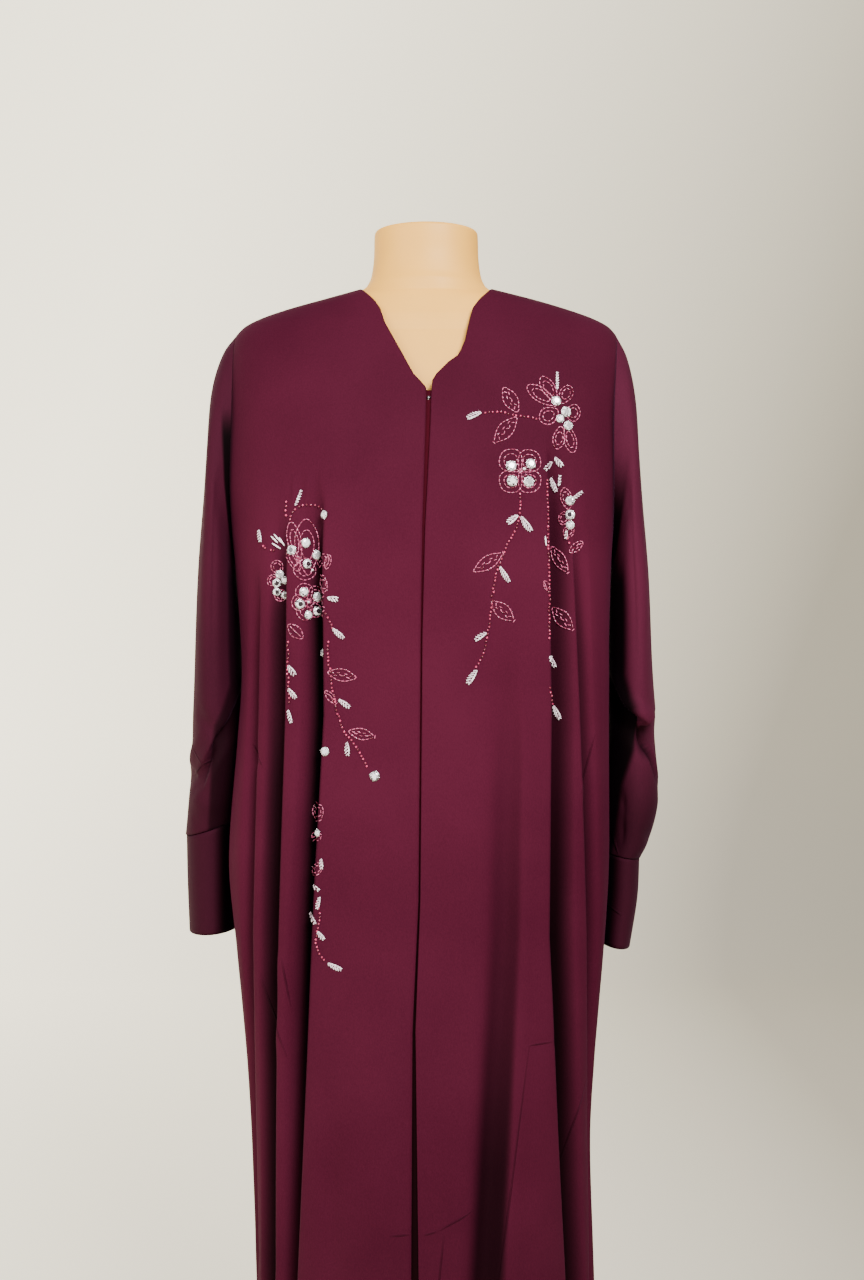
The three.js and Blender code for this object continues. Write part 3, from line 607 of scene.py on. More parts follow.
def clothPoints(part, arc):
    # the section's points moved inwards by the folds' bells and the side's press, and a
    # little along the cloth so that each lip leans over its recess
    z = part["z"][:, None]
    length = part["length"][:, None]
    x0, y0 = plainPlace(part, arc - drape["probe"])
    x1, y1 = plainPlace(part, np.minimum(arc + drape["probe"], length))
    run = np.hypot(x1 - x0, y1 - y0)
    nx, ny = (y0 - y1) / run, (x1 - x0) / run
    inwards = np.zeros_like(arc)
    along = np.zeros_like(arc)
    for fold in folds[(part["side"], part["face"])]:
        # the lean goes outwards over the lip and back over the floor; the slope ends in a swell
        t = foldPlace(part, fold, arc)
        depth = foldDepth(fold, z)
        lean = np.minimum(depth * drape["lean"], drape["leanMost"])
        along += lean * (bell((t + 0.75) / 0.7) - drape["leanBack"] * bell(t / 0.8))
        inwards += depth * bell(t)
        inwards -= drape["swell"] * depth * bell((t - 1.25) / 0.9)
    reach = smooth(sidePress, part["face"], part["z"])[:, None]
    press = smooth(sidePress, "depth", part["z"])[:, None]
    inwards += press * bell((length - arc) / reach)
    x, y = plainPlace(part, arc)
    side, face = signs[part["side"]], signs[part["face"]]
    for crease in creases[part["face"]]:
        inwards -= creaseRelief(side * x, z, crease, drape["creaseEnds"])
    # the ripple is two sines of place and height multiplied, fainter above, none at the side seam
    free = softStep(*drape["rippleHeights"], z)
    ripple = np.sin(x / 13 + z / 190 + side) * np.sin(z / 83 + face + x / 51)
    ripple *= drape["rippleLeast"] + (1 - drape["rippleLeast"]) * free
    inwards += drape["ripple"] * ripple * softStep(0, drape["rippleFromSide"], length - arc)
    px = side * (x - nx * inwards + ny * along)
    py = face * (y - ny * inwards - nx * along)
    return np.stack([px, py, np.broadcast_to(z, px.shape)], -1)


def innerArc(part):
    z = part["z"]
    if part["face"] == "back":
        return arcAtX(part, straight(neckline, "back", z))
    side = signs[part["side"]]
    below = side * (straight(opening, "line", z) + side * straight(opening, "halfGap", z))
    above = arcAtX(part, straight(neckline, part["side"], z))
    return np.where(z < neckline["z"][0] - 0.5, below, above)


def outerArc(part):
    gap = garment["seamGap"] / 2
    rise = (part["z"] - garment["armholeMiddle"]) / garment["armholeHalfHeight"]
    armhole = garment["armholeHalfDepth"] * np.sqrt(np.clip(1 - rise ** 2, 0, 1))
    cut = arcAtY(part, np.maximum(armhole, gap))
    return np.where(np.abs(rise) >= 1, part["length"] - gap, cut)


columns = {
    "counts": [30, 12, 12, 10, 10, 11, 9, 9, 10, 14], "outerStep": 3, "innerStep": 1.5,
    "reference": 1190.0, "evenHeights": (1245, 1325),
}


def foldKnots(part):
    # the panel's edge, then the start, floor and end of each fold, then the panel's other edge
    spread = foldSpread(part["z"])
    knots = [innerArc(part)]
    for fold in folds[(part["side"], part["face"])]:
        centre = foldCentre(part, fold)
        knots += [centre - fold["lip"] * spread, centre, centre + fold["slope"] * spread]
    knots.append(outerArc(part))
    knots = np.array(knots).T
    for i in range(knots.shape[1] - 2, 0, -1):
        knots[:, i] = np.minimum(knots[:, i], knots[:, i + 1] - columns["outerStep"])
    for i in range(1, knots.shape[1] - 1):
        knots[:, i] = np.maximum(knots[:, i], knots[:, i - 1] + columns["innerStep"])
    return knots


def columnArcs(part):
    # columns follow the folds below, and spread evenly between the edges above them
    reference = foldKnots(quarter(part["side"], part["face"], [columns["reference"]]))[0]
    share = (reference - reference[0]) / (reference[-1] - reference[0])
    first, last = innerArc(part)[:, None], outerArc(part)[:, None]
    evenly = softStep(*columns["evenHeights"], part["z"])[:, None]
    knots = foldKnots(part) * (1 - evenly) + (first + share * (last - first)) * evenly
    pieces = []
    for i, count in enumerate(columns["counts"]):
        t = np.arange(count) / count
        pieces.append(knots[:, i:i + 1] + (knots[:, i + 1:i + 2] - knots[:, i:i + 1]) * t)
    pieces.append(knots[:, -1:])
    return np.concatenate(pieces, axis=1)


def panelRows():
    middle, half = garment["armholeMiddle"], garment["armholeHalfHeight"]
    skirt = np.linspace(garment["hem"], middle - half, garment["skirtRows"] + 1)[:-1]
    armhole = middle - half * np.cos(np.linspace(0, np.pi, garment["armholeRows"] + 1))
    shoulder = np.linspace(middle + half, garment["neckPoint"], garment["shoulderRows"] + 1)[1:]
    return np.concatenate([skirt, armhole, shoulder])


def halfPanel(side, face):
    part = quarter(side, face, panelRows())
    arcs = columnArcs(part)
    grid, shade = clothPoints(part, arcs), foldShade(part, arcs)
    runsRight = (side == "left") == (face == "front")
    return (grid, shade) if runsRight else (grid[:, ::-1], shade[:, ::-1])


def setShade(obj, values):
    layer = obj.data.attributes.new("shade", "FLOAT", "POINT")
    layer.data.foreach_set("value", np.asarray(values, np.float32).ravel())


def clothPiece(name, grid, shade, material, closed=False, wall=garment["wall"]):
    height, width = grid.shape[:2]
    obj = makePiece(name, grid.reshape(-1, 3), gridFaces(height, width, closed), material)
    setShade(obj, shade)
    thicken(obj, wall)
    return obj


def addFronts():
    trees = []
    for side in ("right", "left"):
        grid, shade = halfPanel(side, "front")
        name = "front" + side.capitalize()
        obj = clothPiece(name, grid, shade, frontMat)
        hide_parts("front_" + side)
        faces = gridFaces(*grid.shape[:2])
        trees.append(BVHTree.FromPolygons((grid.reshape(-1, 3) * mm).tolist(), faces.tolist()))
    return trees


def addBack():
    # both halves in one mesh, joined at the points that they share in the middle
    halves = [halfPanel("left", "back"), halfPanel("right", "back")]
    points = []
    faces = []
    for grid, _ in halves:
        faces.append(gridFaces(*grid.shape[:2]) + sum(len(p) for p in points))
        points.append(grid.reshape(-1, 3))
    obj = makePiece("back", np.concatenate(points), np.concatenate(faces), clothMat)
    setShade(obj, np.concatenate([shade.ravel() for _, shade in halves]))
    nearness = 1e-5
    work = bmesh.new()
    work.from_mesh(obj.data)
    middle = [v for v in work.verts if abs(v.co.x) < nearness]
    bmesh.ops.remove_doubles(work, verts=middle, dist=nearness)
    work.to_mesh(obj.data)
    work.free()
    thicken(obj, garment["wall"])
    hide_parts("back")


frontTrees = addFronts()
addBack()
print("fronts and back ready")


# Sleeves and cuffs

sleeveRings = {
    "right": {
        "outX": [207, 218, 223, 227, 232, 237, 240, 241, 244, 249],
        "outZ": [1380, 1345, 1290, 1228, 1165, 1085, 1015, 975, 932, 884.7],
        "inX": [196, 196, 195.5, 194, 192, 190, 187, 187, 190, 194],
        "inZ": [1161, 1156, 1147, 1131, 1103, 1058, 1005, 975, 938, 900.7],
        "depth": [63, 67, 71, 73, 73, 71, 67, 64, 60, 53],
        "back": [0, 1, 2, 4, 6, 9, 12, 14, 15, 16],
    },
    "left": {
        "outX": [205, 213, 217, 221, 227, 232, 236, 236, 240, 231, 222],
        "outZ": [1376, 1338, 1283, 1222, 1150, 1068, 1012, 984, 922, 880, 861.7],
        "inX": [190.5, 190.5, 190, 189.5, 189, 188, 187, 186, 184, 183, 181],
        "inZ": [1161, 1156, 1147, 1131, 1103, 1052, 1004, 972, 926, 888, 868.7],
        "depth": [63, 67, 71, 73, 73, 71, 67, 62, 60, 55, 53],
        "back": [0, 1, 2, 4, 6, 9, 13, 17, 18, 19, 19],
    },
}
cuffRings = {
    "right": {
        "outX": [248, 247, 245], "outZ": [884, 836, 787],
        "inX": [194, 193.5, 194], "inZ": [900, 844, 789],
        "depth": [53, 52, 52], "back": [16, 16, 16],
    },
    "left": {
        "outX": [221, 219, 211], "outZ": [861, 820, 771],
        "inX": [181, 179, 176], "inZ": [868, 824, 776],
        "depth": [53, 52, 52], "back": [19, 19, 19],
    },
}
sleeveGrid = {
    "columns": 96, "rowsPerRing": 14, "cuffRowsPerRing": 12, "seam": 0.7,
    "allowance": 4.0, "below": 2.0, "perDegree": 1.1, "creaseEnds": 0.5,
    "wave": 0.5, "waveHeights": (1380, 1250), "fadeRows": (10, 8),
}


def ringPoints(table, sign):
    # each ring is an oval from its inner point to its outer one, seen from the front
    angle = np.linspace(0, 2 * np.pi, sleeveGrid["columns"], endpoint=False)[None, :]
    column = {key: np.array(value, float)[:, None] for key, value in table.items()}
    out = (1 + np.cos(angle)) / 2
    x = column["inX"] + (column["outX"] - column["inX"]) * out
    z = column["inZ"] + (column["outZ"] - column["inZ"]) * out
    y = column["back"] - sign * column["depth"] * np.sin(angle)
    return np.stack([sign * x, y, z], -1)


def panelRing(side, sign, grow=0.0):
    # the front's and back's points round the armhole, that far outside its edge
    angle = np.linspace(0, 2 * np.pi, sleeveGrid["columns"], endpoint=False)
    z = garment["armholeMiddle"] + (garment["armholeHalfHeight"] + grow) * np.cos(angle)
    depth = (garment["armholeHalfDepth"] + grow) * np.abs(np.sin(angle))
    ring = np.zeros((len(angle), 3))
    for face in ("front", "back"):
        part = quarter(side, face, z)
        arc = arcAtY(part, np.maximum(depth, garment["seamGap"] / 2))
        points = clothPoints(part, arc[:, None])[:, 0]
        behind = -sign * np.sin(angle) > 0
        chosen = behind if face == "back" else ~behind
        ring[chosen] = points[chosen]
    return ring


def armholeRing(side, sign):
    # the armhole's edge on the front and back, moved out by the seam
    ring = panelRing(side, sign)
    shrink = 1 - sleeveGrid["seam"] / garment["armholeHalfHeight"]
    ring[:, 0] += sign * sleeveGrid["seam"]
    ring[:, 1] *= shrink
    ring[:, 2] = garment["armholeMiddle"] + (ring[:, 2] - garment["armholeMiddle"]) * shrink
    return ring


def turnedIn(side, sign):
    # the sleeve's own edge turned in at the seam: under the armhole's edge, and then outwards
    # below the panels. The normal is that of the panels round the armhole.
    edge, beyond = panelRing(side, sign), panelRing(side, sign, sleeveGrid["allowance"])
    around = np.roll(edge, -1, 0) - np.roll(edge, 1, 0)
    normal = np.cross(around, beyond - edge)
    normal /= np.linalg.norm(normal, axis=1, keepdims=True)
    normal *= np.sign(-sign * normal[:, 0].mean())
    return np.stack([beyond, edge]) + normal * sleeveGrid["below"]


def loft(rings, steps):
    # the cubic curve through the rings, column by column
    last = len(rings) - 1
    return cubic(np.arange(last + 1), rings, np.linspace(0, last, last * steps + 1))


def gridNormals(grid):
    across = np.roll(grid, -1, 1) - np.roll(grid, 1, 1)
    along = np.gradient(grid, axis=0)
    normal = np.cross(across, along)
    return normal / np.maximum(np.linalg.norm(normal, axis=2, keepdims=True), 1e-9)


# Creases of the sleeves: height and angle of both ends (0 is the outside, 90 the front,
# 180 the body's side), then width and height of the crease
sleeveCreases = {
    "right": [
        ((1010, 60), (985, 120), 9, -3.0), ((946, 20), (960, 70), 7, -3.0),
        ((958, 10), (985, 60), 9, 2.2), ((930, 40), (915, 110), 9, 2.0),
        ((1300, 60), (1120, 70), 14, 1.8), ((1240, 100), (1040, 95), 12, -2.0),
        ((1180, 300), (1000, 310), 14, 2.2), ((980, 250), (960, 300), 9, -2.6),
        ((905, 60), (892, 90), 5, -1.6),
    ],
    "left": [
        ((1022, 110), (1006, 50), 8, 3.0), ((985, 80), (945, 45), 8, 1.6),
        ((905, 118), (884, 112), 5, -2.4), ((930, 122), (912, 116), 5, -2.0),
        ((1290, 60), (1110, 66), 14, 1.8), ((1230, 100), (1060, 96), 12, -2.0),
        ((1180, 290), (1010, 305), 14, 2.2), ((1000, 240), (965, 300), 9, -2.6),
        ((892, 70), (880, 30), 6, -2.0),
    ],
}


# The lip where the upper sleeve hangs over the forearm: its height at each angle, how far it
# stands out, and the recess under it
elbowLips = {
    "right": [
        {"angle": [20, 49, 75, 100, 140, 180], "z": [958, 951, 963, 989, 1018, 1046],
         "shows": [0.1, 0.4, 0.8, 1, 0.5, 0], "lip": 3.0, "recess": 9.0, "reach": 34},
    ],
    "left": [
        {"angle": [10, 35, 70, 120, 160, 180], "z": [1014, 1012, 1000, 1020, 1046, 1056],
         "shows": [0, 0.2, 1, 1, 0.3, 0], "lip": 4.0, "recess": 11.0, "reach": 40},
        {"angle": [15, 34, 60, 80, 110, 140], "z": [940, 950, 984, 992, 994, 994],
         "shows": [0.1, 0.5, 1, 0.3, 0, 0], "lip": 2.4, "recess": 5.0, "reach": 26},
    ],
}


def lipFields(lip, angle, z):
    # how far below the lip a place is, and how much the lip shows there
    below = np.interp(angle, lip["angle"], lip["z"]) - z
    shows = np.interp(angle, lip["angle"], lip["shows"])
    shows = shows * softStep(lip["angle"][0] - 10, lip["angle"][0], angle)
    return below, shows * softStep(lip["angle"][-1] + 30, lip["angle"][-1], angle)


def elbowLift(side, angle, z):
    # a bulge above each lip, exp(-(distance / 14)^2), then a quick drop into its recess, which
    # runs out slowly
    lift = np.zeros_like(z)
    for lip in elbowLips[side]:
        below, shows = lipFields(lip, angle, z)
        bulge = lip["lip"] * np.exp(-(np.minimum(below, 0) / 14) ** 2) * softStep(4, -2, below)
        drop = lip["recess"] * softStep(-1, 5, below) * softStep(lip["reach"], 8, below)
        lift += shows * (bulge - drop)
    return lift


# Painted shade of the sleeves: a band along the armhole, by rows down from it and by height, then a strip
# beside the body, by its half width in degrees at each height; all is painted shade over the whole sleeve,
# and forearm more of it down the forearm
sleevePaintedShade = {
    "right": {"bandRows": (18, 9), "bandHeights": (1335, 1285), "strip": (1180, 1140),
              "beside": 0.85, "all": 0.34, "forearm": 0.5,
              "z": [870, 900, 975, 1000, 1040, 1165], "halfWidth": [84, 88, 92, 84, 48, 42]},
    "left": {"bandRows": (25, 13), "bandHeights": (1275, 1205), "strip": (1180, 1140),
             "beside": 1.0, "all": 0.0, "forearm": 0.58,
             "z": [870, 900, 940, 975, 1020, 1050, 1165], "halfWidth": [52, 52, 60, 84, 84, 58, 56]},
}
forearmHeights = (1010, 890)
# painted shade of the cuffs, full in a strip beside the body
cuffPaintedShade = {"right": 0.55, "left": 0.5, "strip": (80, 50)}


def sleeveShade(side, angle, grid):
    # painted shade along the armhole and beside the body, and under each lip
    z = grid[:, :, 2]
    rows = np.arange(len(grid))[:, None]
    dark = sleevePaintedShade[side]
    shade = softStep(*dark["bandRows"], rows) * softStep(*dark["bandHeights"], z)
    halfWidth = straight(dark, "halfWidth", z)
    strip = softStep(halfWidth + 10, halfWidth - 8, np.abs(angle - 180))
    shade = np.maximum(shade, dark["beside"] * strip * softStep(*dark["strip"], z))
    for lip in elbowLips[side]:
        below, shows = lipFields(lip, angle, z)
        under = softStep(0, 4, below) * softStep(lip["reach"] * 1.3, 6, below)
        shade = np.maximum(shade, shows * under * 0.9)
    lower = softStep(*forearmHeights, z)
    return np.maximum(shade, dark["all"] * (1 - lower) + dark["forearm"] * lower)


def cuffShade(side, angle):
    strip = softStep(*cuffPaintedShade["strip"], np.abs(angle - 180))
    return cuffPaintedShade[side] + (1 - cuffPaintedShade[side]) * strip


def addTube(kind, side, grid, shade):
    name = kind + side.capitalize()
    obj = clothPiece(name, grid, shade, sleeveLitMat, closed=True)
    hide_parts(kind + "_" + side)


def addSleeves():
    columnCount, perDegree = sleeveGrid["columns"], sleeveGrid["perDegree"]
    for side in ("right", "left"):
        sign = signs[side]
        rings = np.concatenate([armholeRing(side, sign)[None], ringPoints(sleeveRings[side], sign)])
        grid = loft(rings, sleeveGrid["rowsPerRing"])
        normals = gridNormals(grid)
        angle = np.linspace(0, 360, columnCount, endpoint=False)[None, :]
        angle = angle if sign > 0 else (360 - angle) % 360
        z = grid[:, :, 2]
        lift = elbowLift(side, angle, z)
        for (z0, a0), (z1, a1), width, height in sleeveCreases[side]:
            crease = ((a0 * perDegree, z0), (a1 * perDegree, z1), width, height)
            lift += creaseRelief(angle * perDegree, z, crease, sleeveGrid["creaseEnds"])
        wave = np.sin(z / 37 + np.radians(angle) * 3) * softStep(*sleeveGrid["waveHeights"], z)
        lift += sleeveGrid["wave"] * wave
        rows = np.arange(len(grid))[:, None]
        fromTop, fromEnd = sleeveGrid["fadeRows"]
        fade = softStep(0, fromTop, rows) * softStep(0, fromEnd, rows[::-1])
        grid = grid + normals * (lift * fade)[:, :, None]
        # the turned-in edge lies in full painted shade
        shade = np.concatenate([np.ones((2, columnCount)), sleeveShade(side, angle, grid)])
        addTube("sleeve", side, np.concatenate([turnedIn(side, sign), grid]), shade)

        cuff = loft(ringPoints(cuffRings[side], sign), sleeveGrid["cuffRowsPerRing"])
        shade = cuffShade(side, angle) + 0 * cuff[:, :, 2]
        addTube("cuff", side, cuff, shade)


addSleeves()
print("sleeves and cuffs ready")


# Placket and snap

placket = {
    "halfWidth": 15.0, "top": 1326.0, "aboveHem": 2, "behind": 2.2, "wall": 1.0,
    "columns": 13, "rows": 220, "shade": 0.85, "shadeHeights": (1010, 780),
}


def addPlacket():
    z = np.linspace(garment["hem"] + placket["aboveHem"], placket["top"], placket["rows"])
    line = straight(opening, "line", z)[:, None]
    x = line + np.linspace(-1, 1, placket["columns"])[None, :] * placket["halfWidth"]
    rightPart = clothPoints(quarter("right", "front", z), np.maximum(-x, 0))
    leftPart = clothPoints(quarter("left", "front", z), np.maximum(x, 0))
    grid = np.where((x < 0)[:, :, None], rightPart, leftPart)
    grid[:, :, 1] += placket["behind"]
    shade = placket["shade"] * softStep(*placket["shadeHeights"], grid[:, :, 2])
    obj = clothPiece("placket", grid, shade, placketShadedMat, wall=placket["wall"])
    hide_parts("placket")


addPlacket()


def latheFaces(rings, sides):
    faces = gridFaces(rings, sides, True).tolist()
    faces.append(list(range(sides))[::-1])
    faces.append([(rings - 1) * sides + k for k in range(sides)])
    return faces


def lathe(profile, sides):
    # a profile of radius and height carried round the upright axis
    angle = np.linspace(0, 2 * np.pi, sides, endpoint=False)[None, :]
    radius, height = np.array(profile, float).T[:, :, None]
    return np.stack([radius * np.cos(angle), radius * np.sin(angle), height + 0 * angle], -1)


def addTurned(name, node, profile, sides, material):
    points = lathe(profile, sides).reshape(-1, 3)
    obj = makePiece(name, points, latheFaces(len(profile), sides), material)
    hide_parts(node)
    return obj


snap = {"sides": 24, "profile": [(2.0, 0.0), (2.0, 0.5), (1.7, 0.9), (0.9, 1.0), (0.8, 1.4), (0.3, 1.5)]}


def addSnap():
    # a turned stud whose axis runs to the front
    low, high = (np.array(corner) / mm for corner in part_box("snap"))
    middle = (low + high) / 2
    points = lathe(snap["profile"], snap["sides"]).reshape(-1, 3)
    turned = np.stack([points[:, 0], high[1] - points[:, 2], points[:, 1]], -1)
    turned += [middle[0], 0, middle[2]]
    faces = latheFaces(len(snap["profile"]), snap["sides"])
    obj = makePiece("snap", turned, faces, steelMat)
    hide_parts("snap")


addSnap()
print("placket and snap ready")


# Embroidery: every place is a pixel of the picture, set on the fronts where its line of sight
# meets them

def nearestFront(origin, direction):
    # the first place of the fronts on a line, in millimetres, and their normal towards its start
    hits = [tree.ray_cast(origin, direction) for tree in frontTrees]
    hits = [hit for hit in hits if hit[0] is not None]
    place, normal = min(hits, key=lambda hit: hit[3])[:2]
    normal = normal if normal.dot(direction) < 0 else -normal
    return np.array(place) / mm, np.array(normal)


def onCloth(px, py):
    return nearestFront(*pixelRay(px, py))


def newBag():
    return {"points": [], "faces": [], "shade": [], "count": 0}


def addToBag(bag, points, faces, shade):
    bag["points"].append(points)
    bag["faces"] += [[k + bag["count"] for k in face] for face in faces]
    bag["shade"].append(np.full(len(points), shade))
    bag["count"] += len(points)


def bagPiece(name, bag, material, flatShaded=False):
    points = np.concatenate(bag["points"])
    obj = makePiece(name, points, bag["faces"], material, not flatShaded)
    setShade(obj, np.concatenate(bag["shade"]))
    return obj


def axes(normal, along):
    # a right-handed set: along the cloth, across it, and out of it
    along = along - normal * along.dot(normal)
    along = along / max(np.linalg.norm(along), 1e-9)
    return np.stack([along, np.cross(normal, along), normal])


def capsule(length, thickness, sides, rings):
    # a rounded rod along X: its radius is the sine to the power 0.6, so that the ends are full
    t = np.linspace(0.03, np.pi - 0.03, rings)
    radius = thickness / 2 * np.sin(t) ** 0.6
    x = -np.cos(t) * length / 2
    angle = np.linspace(0, 2 * np.pi, sides, endpoint=False)
    points = np.stack([x[:, None] + 0 * angle, radius[:, None] * np.cos(angle),
                       radius[:, None] * np.sin(angle)], -1)
    return points.reshape(-1, 3), latheFaces(rings, sides)


seedShape = capsule(2.15, 2.1, 8, 6)
bugleShape = capsule(3.9, 1.25, 6, 4)
grainShape = capsule(1.0, 1.0, 7, 6)
sewn = {
    "pixel": 0.953,  # millimetres of cloth to a pixel of the picture
    "seedStep": 3.6, "seedShift": (0.35, 0.3), "seedShades": [0.1, 0.4, 0.6, 1.0],
    "bugleStep": 3.8, "bugleTurn": 0.25, "bugleShade": 0.65, "innerShade": 0.6, "stitchShade": 0.55,
    "shadeSpread": 0.27, "innerPetal": 0.58, "seat": 0.7, "bugleSeat": 0.8, "grainSeat": 0.9,
    "grainStep": 2.9, "grainSize": (2.9, 1.45, 1.5), "strokeWidth": 1.7, "seed": 21,
}
chance = np.random.default_rng(sewn["seed"])
upwards = np.array([0, 0, 1.0])


def putShape(bag, shape, place, normal, along, seat, shade, scale=(1, 1, 1)):
    points = (shape[0] * scale) @ axes(normal, along) + place + normal * seat
    addToBag(bag, points, shape[1], shade)


def evenPlaces(line, step, closed=False):
    # the pixels along a line, at even steps in millimetres
    line = np.array(line, float)
    line = np.vstack([line, line[:1]]) if closed else line
    run = np.concatenate([[0], np.cumsum(np.hypot(*np.diff(line, axis=0).T))])
    count = max(int(run[-1] * sewn["pixel"] / step), 1)
    at = (np.arange(count) + 0.5) / count * run[-1]
    return list(zip(np.interp(at, run, line[:, 0]), np.interp(at, run, line[:, 1])))


def curved(line, steps=6):
    # a cubic curve through the pixels of a line, with slopes from the pixels on each side
    line = np.array(line, float)
    row = line[np.clip(np.arange(-1, len(line) + 1), 0, len(line) - 1)]
    t = (np.arange(steps) / steps)[:, None]
    out = []
    for a, b, c, d in zip(row, row[1:], row[2:], row[3:]):
        out.append(0.5 * (2 * b + (c - a) * t + (2 * a - 5 * b + 4 * c - d) * t ** 2
                          + (3 * b - a - 3 * c + d) * t ** 3))
    return np.concatenate(out + [line[-1:]])


def vine(line):
    # round seed beads along a line, each with a random tone of its own, dark to bright: partly the beads'
    # own tone, partly painted glints
    for px, py in evenPlaces(curved(line), sewn["seedStep"]):
        px, py = (p + chance.normal(0, shift) for p, shift in zip((px, py), sewn["seedShift"]))
        place, normal = onCloth(px, py)
        putShape(vineBag, seedShape, place, normal, upwards, sewn["seat"], chance.choice(sewn["seedShades"]))


def bugleLine(line, closed=False, bright=sewn["bugleShade"]):
    # long beads end to end along a line
    places = [onCloth(px, py) for px, py in evenPlaces(line, sewn["bugleStep"], closed)]
    count = len(places)
    for i, (place, normal) in enumerate(places):
        after = places[(i + 1) % count if closed else min(i + 1, count - 1)][0]
        before = places[(i - 1) % count if closed else max(i - 1, 0)][0]
        along = after - before + chance.normal(0, sewn["bugleTurn"], 3)
        if np.linalg.norm(along) < 0.1:
            along = upwards
        # a random brightness for each bead: partly its own tone, partly painted glints
        shade = np.clip(bright + chance.normal(0, sewn["shadeSpread"]), 0, 1)
        putShape(bugleBag, bugleShape, place, normal, along, sewn["seat"] * sewn["bugleSeat"], shade)


def straightAxis(x0, y0, x1, y1):
    # start and length of a shape, with its direction and the direction across it
    start, end = np.array([x0, y0], float), np.array([x1, y1], float)
    length = np.hypot(*(end - start))
    axis = (end - start) / length
    return start, length, axis, np.array([-axis[1], axis[0]])


def outline(start, axis, side, along, half):
    # up one side of a shape and back down its other side
    middle = start + np.outer(along, axis)
    out = np.outer(half, side)
    return np.concatenate([middle + out, (middle - out)[-2:0:-1]])


def petalOutline(x0, y0, x1, y1, width, share=1.0):
    # from the root to the tip: half the width times the sine of pi t^1.25, to the power 0.6,
    # which is full, round at its ends and widest just past the middle
    root, length, axis, side = straightAxis(x0, y0, x1, y1)
    t = 0.5 - 0.5 * np.cos(np.linspace(0, np.pi, 17))
    half = width / 2 * np.abs(np.sin(np.pi * t ** 1.25)) ** 0.6
    start = root + axis * length * (1 - share) * 0.55
    return outline(start, axis, side, length * share * t, half * share)


def petal(*row):
    bugleLine(petalOutline(*row), True)
    bugleLine(petalOutline(*row, sewn["innerPetal"]), True, sewn["innerShade"])


def pinkLeaf(x0, y0, x1, y1, width):
    # an outline of two arcs of a sine, with a zigzag line of stitches inside
    start, length, axis, side = straightAxis(x0, y0, x1, y1)
    t = np.linspace(0, 1, 11)
    bugleLine(outline(start, axis, side, length * t, width / 2 * np.sin(np.pi * t)), True)
    steps = np.linspace(0.16, 0.84, 7)
    swing = width * 0.17 * np.where(np.arange(7) % 2, 1, -1)
    zigzag = start + np.outer(length * steps, axis) + np.outer(swing, side)
    bugleLine(zigzag, False, sewn["stitchShade"])


def whiteLeaf(x0, y0, x1, y1, width):
    # slanted raised grains on each side of a leaf's middle, longest at its fullest place: there
    # they reach 0.34 of the width, times the sine of pi t to the power 0.9
    start, length, axis, side = straightAxis(x0, y0, x1, y1)
    count = max(int(round(length * sewn["pixel"] / sewn["grainStep"])), 3)
    least, across, thick = sewn["grainSize"]
    for i in range(count):
        t = 0.06 + 0.88 * (i + 0.5) / count
        half = width * 0.34 * np.sin(np.pi * (0.06 + 0.88 * t)) ** 0.9
        for turn in (-1, 1):
            middle = start + axis * length * t + side * turn * half * 0.5
            place, normal = onCloth(*middle)
            direction = axis * 0.85 + side * turn * 0.5 + side * 0.3
            ahead = onCloth(*(middle + direction))[0]
            # a random brightness for each grain: partly its own tone, partly painted glints
            putShape(silverBag, grainShape, place, normal, ahead - place, sewn["grainSeat"],
                     chance.uniform(0.2, 1.0), (max(half * 1.8, least), across, thick))


def whiteStroke(x0, y0, x1, y1):
    middle, normal = onCloth((x0 + x1) / 2, (y0 + y1) / 2)
    run = onCloth(x1, y1)[0] - onCloth(x0, y0)[0]
    size = (max(np.linalg.norm(run), 2.0), sewn["strokeWidth"], sewn["strokeWidth"])
    putShape(silverBag, grainShape, middle, normal, run, sewn["grainSeat"], 0.9, size)


def whiteDot(px, py, size):
    place, normal = onCloth(px, py)
    sideways = np.array([1.0, 0, 0])
    putShape(silverBag, grainShape, place, normal, sideways, size * 0.35, 1.0, (size, size, size))


vineBag, bugleBag, silverBag = newBag(), newBag(), newBag()

# start and tip of each shape, then its width, in pixels
leftSide = {
    "vines": [
        [(538, 419), (527, 417), (515, 415), (500, 412), (483, 413)],
        [(520, 492), (520, 510), (517, 527), (508, 543), (502, 558), (498, 567), (494, 586),
         (491, 610), (488, 633), (482, 657), (475, 668)],
        [(547, 478), (547, 496), (548, 520), (548, 545), (549, 570), (549, 600), (549, 640)],
        [(549, 686), (551, 697), (553, 706)],
        [(566, 532), (570, 545)],
    ],
    "petals": [
        (557, 406, 527, 386, 14), (557, 402, 541, 377, 13), (561, 404, 570, 386, 13),
        (565, 412, 580, 414, 17), (558, 410, 540, 421, 17), (561, 426, 557, 449, 12),
        (566, 424, 573, 453, 12),
        (520, 471, 503, 452, 24), (520, 471, 537, 453, 24), (520, 471, 503, 490, 24),
        (520, 471, 537, 490, 24),
        (569, 510, 564, 488, 11), (570, 520, 559, 517, 13), (572, 525, 566, 537, 10),
    ],
    "pinkLeaves": [
        (518, 413, 503, 387, 14), (517, 417, 494, 443, 15), (473, 572, 503, 553, 13),
        (491, 601, 514, 621, 14), (551, 546, 568, 573, 12), (569, 553, 583, 541, 8),
        (552, 607, 573, 630, 14), (544, 580, 549, 592, 5),
    ],
    "whiteLeaves": [
        (482, 412, 466, 419, 9), (518, 515, 507, 524, 10), (520, 516, 532, 532, 10),
        (552, 461, 544, 471, 8), (554, 457, 563, 467, 9), (550, 477, 557, 493, 8),
        (499, 566, 510, 583, 8), (487, 632, 474, 641, 8), (477, 669, 467, 685, 10),
        (549, 655, 556, 668, 8), (553, 705, 561, 720, 9), (571, 500, 583, 491, 6),
        (559, 487, 560, 474, 4), (567, 530, 566, 540, 5), (557, 391, 557, 371, 4),
    ],
    "dots": [(524, 469, 3.0)],
    "strokes": [(545, 536, 546, 546)],
}
